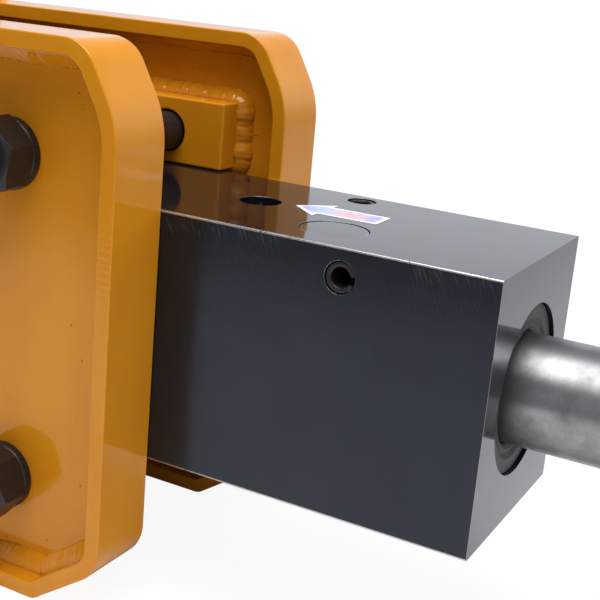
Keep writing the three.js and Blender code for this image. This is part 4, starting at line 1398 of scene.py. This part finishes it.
# ---- Valve chest and cover ----
# The main valve's steel chest hangs under the cylinder. Its spool is covered at the rear by a
# plate with four socket screws.
chest_low, chest_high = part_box("valve_chest")
cover_low, cover_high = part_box("valve_cover")
chest = long_block("valve_block", chest_low, chest_high, 0.004)
rounded(chest, 0.002, on_outside(chest_low, chest_high))
finished(chest, [black_enamel], "body_paint", "breaker_body", "valve_chest")
cover = long_block("valve_end_plate", cover_low, cover_high, cast_corner)
rounded(cover, 0.002, on_outside(cover_low, cover_high))
finished(cover, [black_enamel], "body_paint", "breaker_body", "valve_cover")
screw_nodes = [f"valve_screw_{word}_{level}" for word, _ in near_far for level in levels]
screw_shank, screw_head, screw_rise = 0.008, 0.013, 0.016
screw_places = []
for node in screw_nodes:
    _, y, z = middle(node)
    screw_places.append(((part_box(node)[0][0] + screw_rise, y, z), (0.0, 0.0, math.pi / 2)))
screw_profile = [
    (0.0, -0.03), (screw_shank, -0.03), (screw_shank, 0.0), (screw_head, 0.0),
    (screw_head, screw_rise), (0.0085, screw_rise), (0.0, screw_rise),
]
screw = turned("screw", screw_profile, "Y", sides=64, ease=0.0012)
cut(screw, [extruded("socket", hexagon_corners(0.014), 0.008, 0.03, stood_up)])
screw_heads = repeated("valve_screws", screw, screw_places, black_steel)
finished(screw_heads, [black_steel], "black_steel", "breaker_body", *screw_nodes)

# ---- Port adapters ----
# Two zinc-plated adapters are screwed into the ports on top of the cylinder. With no hose on
# them they are closed by moulded plastic caps.
plastic, plastic_tree, plastic_shader = new_material("cap_plastic", Roughness=0.42)
red = (0.42, 0.020, 0.014, 1.0)
scuffed_red = (0.50, 0.060, 0.045, 1.0)
scuff = noise(plastic_tree, own_place(plastic_tree), 210.0, 5.0, 0.7)
plastic_skin = blended(plastic_tree, spread(plastic_tree, scuff, 0.5, 0.75), red, scuffed_red)
dress(plastic_tree, plastic_shader, plastic_skin, None, scuff, 0.00006)
adapter = chamfered_hex("adapter", 0.046, 0.0003, 0.022)
neck = [
    (0.0, -0.012), (0.0125, -0.012), (0.0125, 0.001), (0.0205, 0.001), (0.0205, 0.0015),
    (0.019, 0.004), (0.019, 0.0225), (0.0155, 0.0235), (0.0155, 0.034), (0.0, 0.034),
]
cut(adapter, [turned("neck", neck, "Y", ease=0.0006)], "UNION")
cap_profile = [
    (0.0, 0.0275), (0.0165, 0.0275), (0.0180, 0.0290), (0.0180, 0.0310), (0.0187, 0.0320),
    (0.0187, 0.0540), (0.0150, 0.0568), (0.0060, 0.0568), (0.0050, 0.0560), (0.0, 0.0560),
]
cap = turned("cap", cap_profile, "Y", sides=72, ease=0.0008)
upright = (math.pi / 2, 0.0, 0.0)
port_places = [((x, y, head_high[2]), upright) for x, y in ports]
adapters = repeated("port_adapters", adapter, port_places, zinc)
caps = repeated("port_caps", cap, port_places, plastic)
port_nodes = [f"{word}_port_adapter" for word, _ in near_far]
finished(adapters, [zinc], "zinc_plate", "breaker_body", *port_nodes, sharp=32.0)
finished(caps, [plastic], "seal_rubber", "breaker_body")

# ---- Working parts inside ----
# Piston and spool are hardened steel, ground to size; the tool's bushes and the seal retainer
# are bronze. They are out of sight and stay as they come from the CAD model.
ground_steel = bare_metal(
    "ground_steel", rubbed=(0.8, 0.8, 0.8, 1.0), rub_amount=0.5, height=turning_marks,
    Colour=(0.60, 0.60, 0.61, 1.0), Tarnish=(0.48, 0.48, 0.49, 1.0),
    Mottle=50.0, Smooth=0.12, Rough=0.24, Scratches=0.5,
)
for node, finish in (
    ("piston", ground_steel), ("valve_spool", ground_steel), ("lower_bush", bronze),
    ("upper_bush", bronze), ("seal_retainer", bronze),
):
    for material_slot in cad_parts[node].material_slots:
        material_slot.material = finish
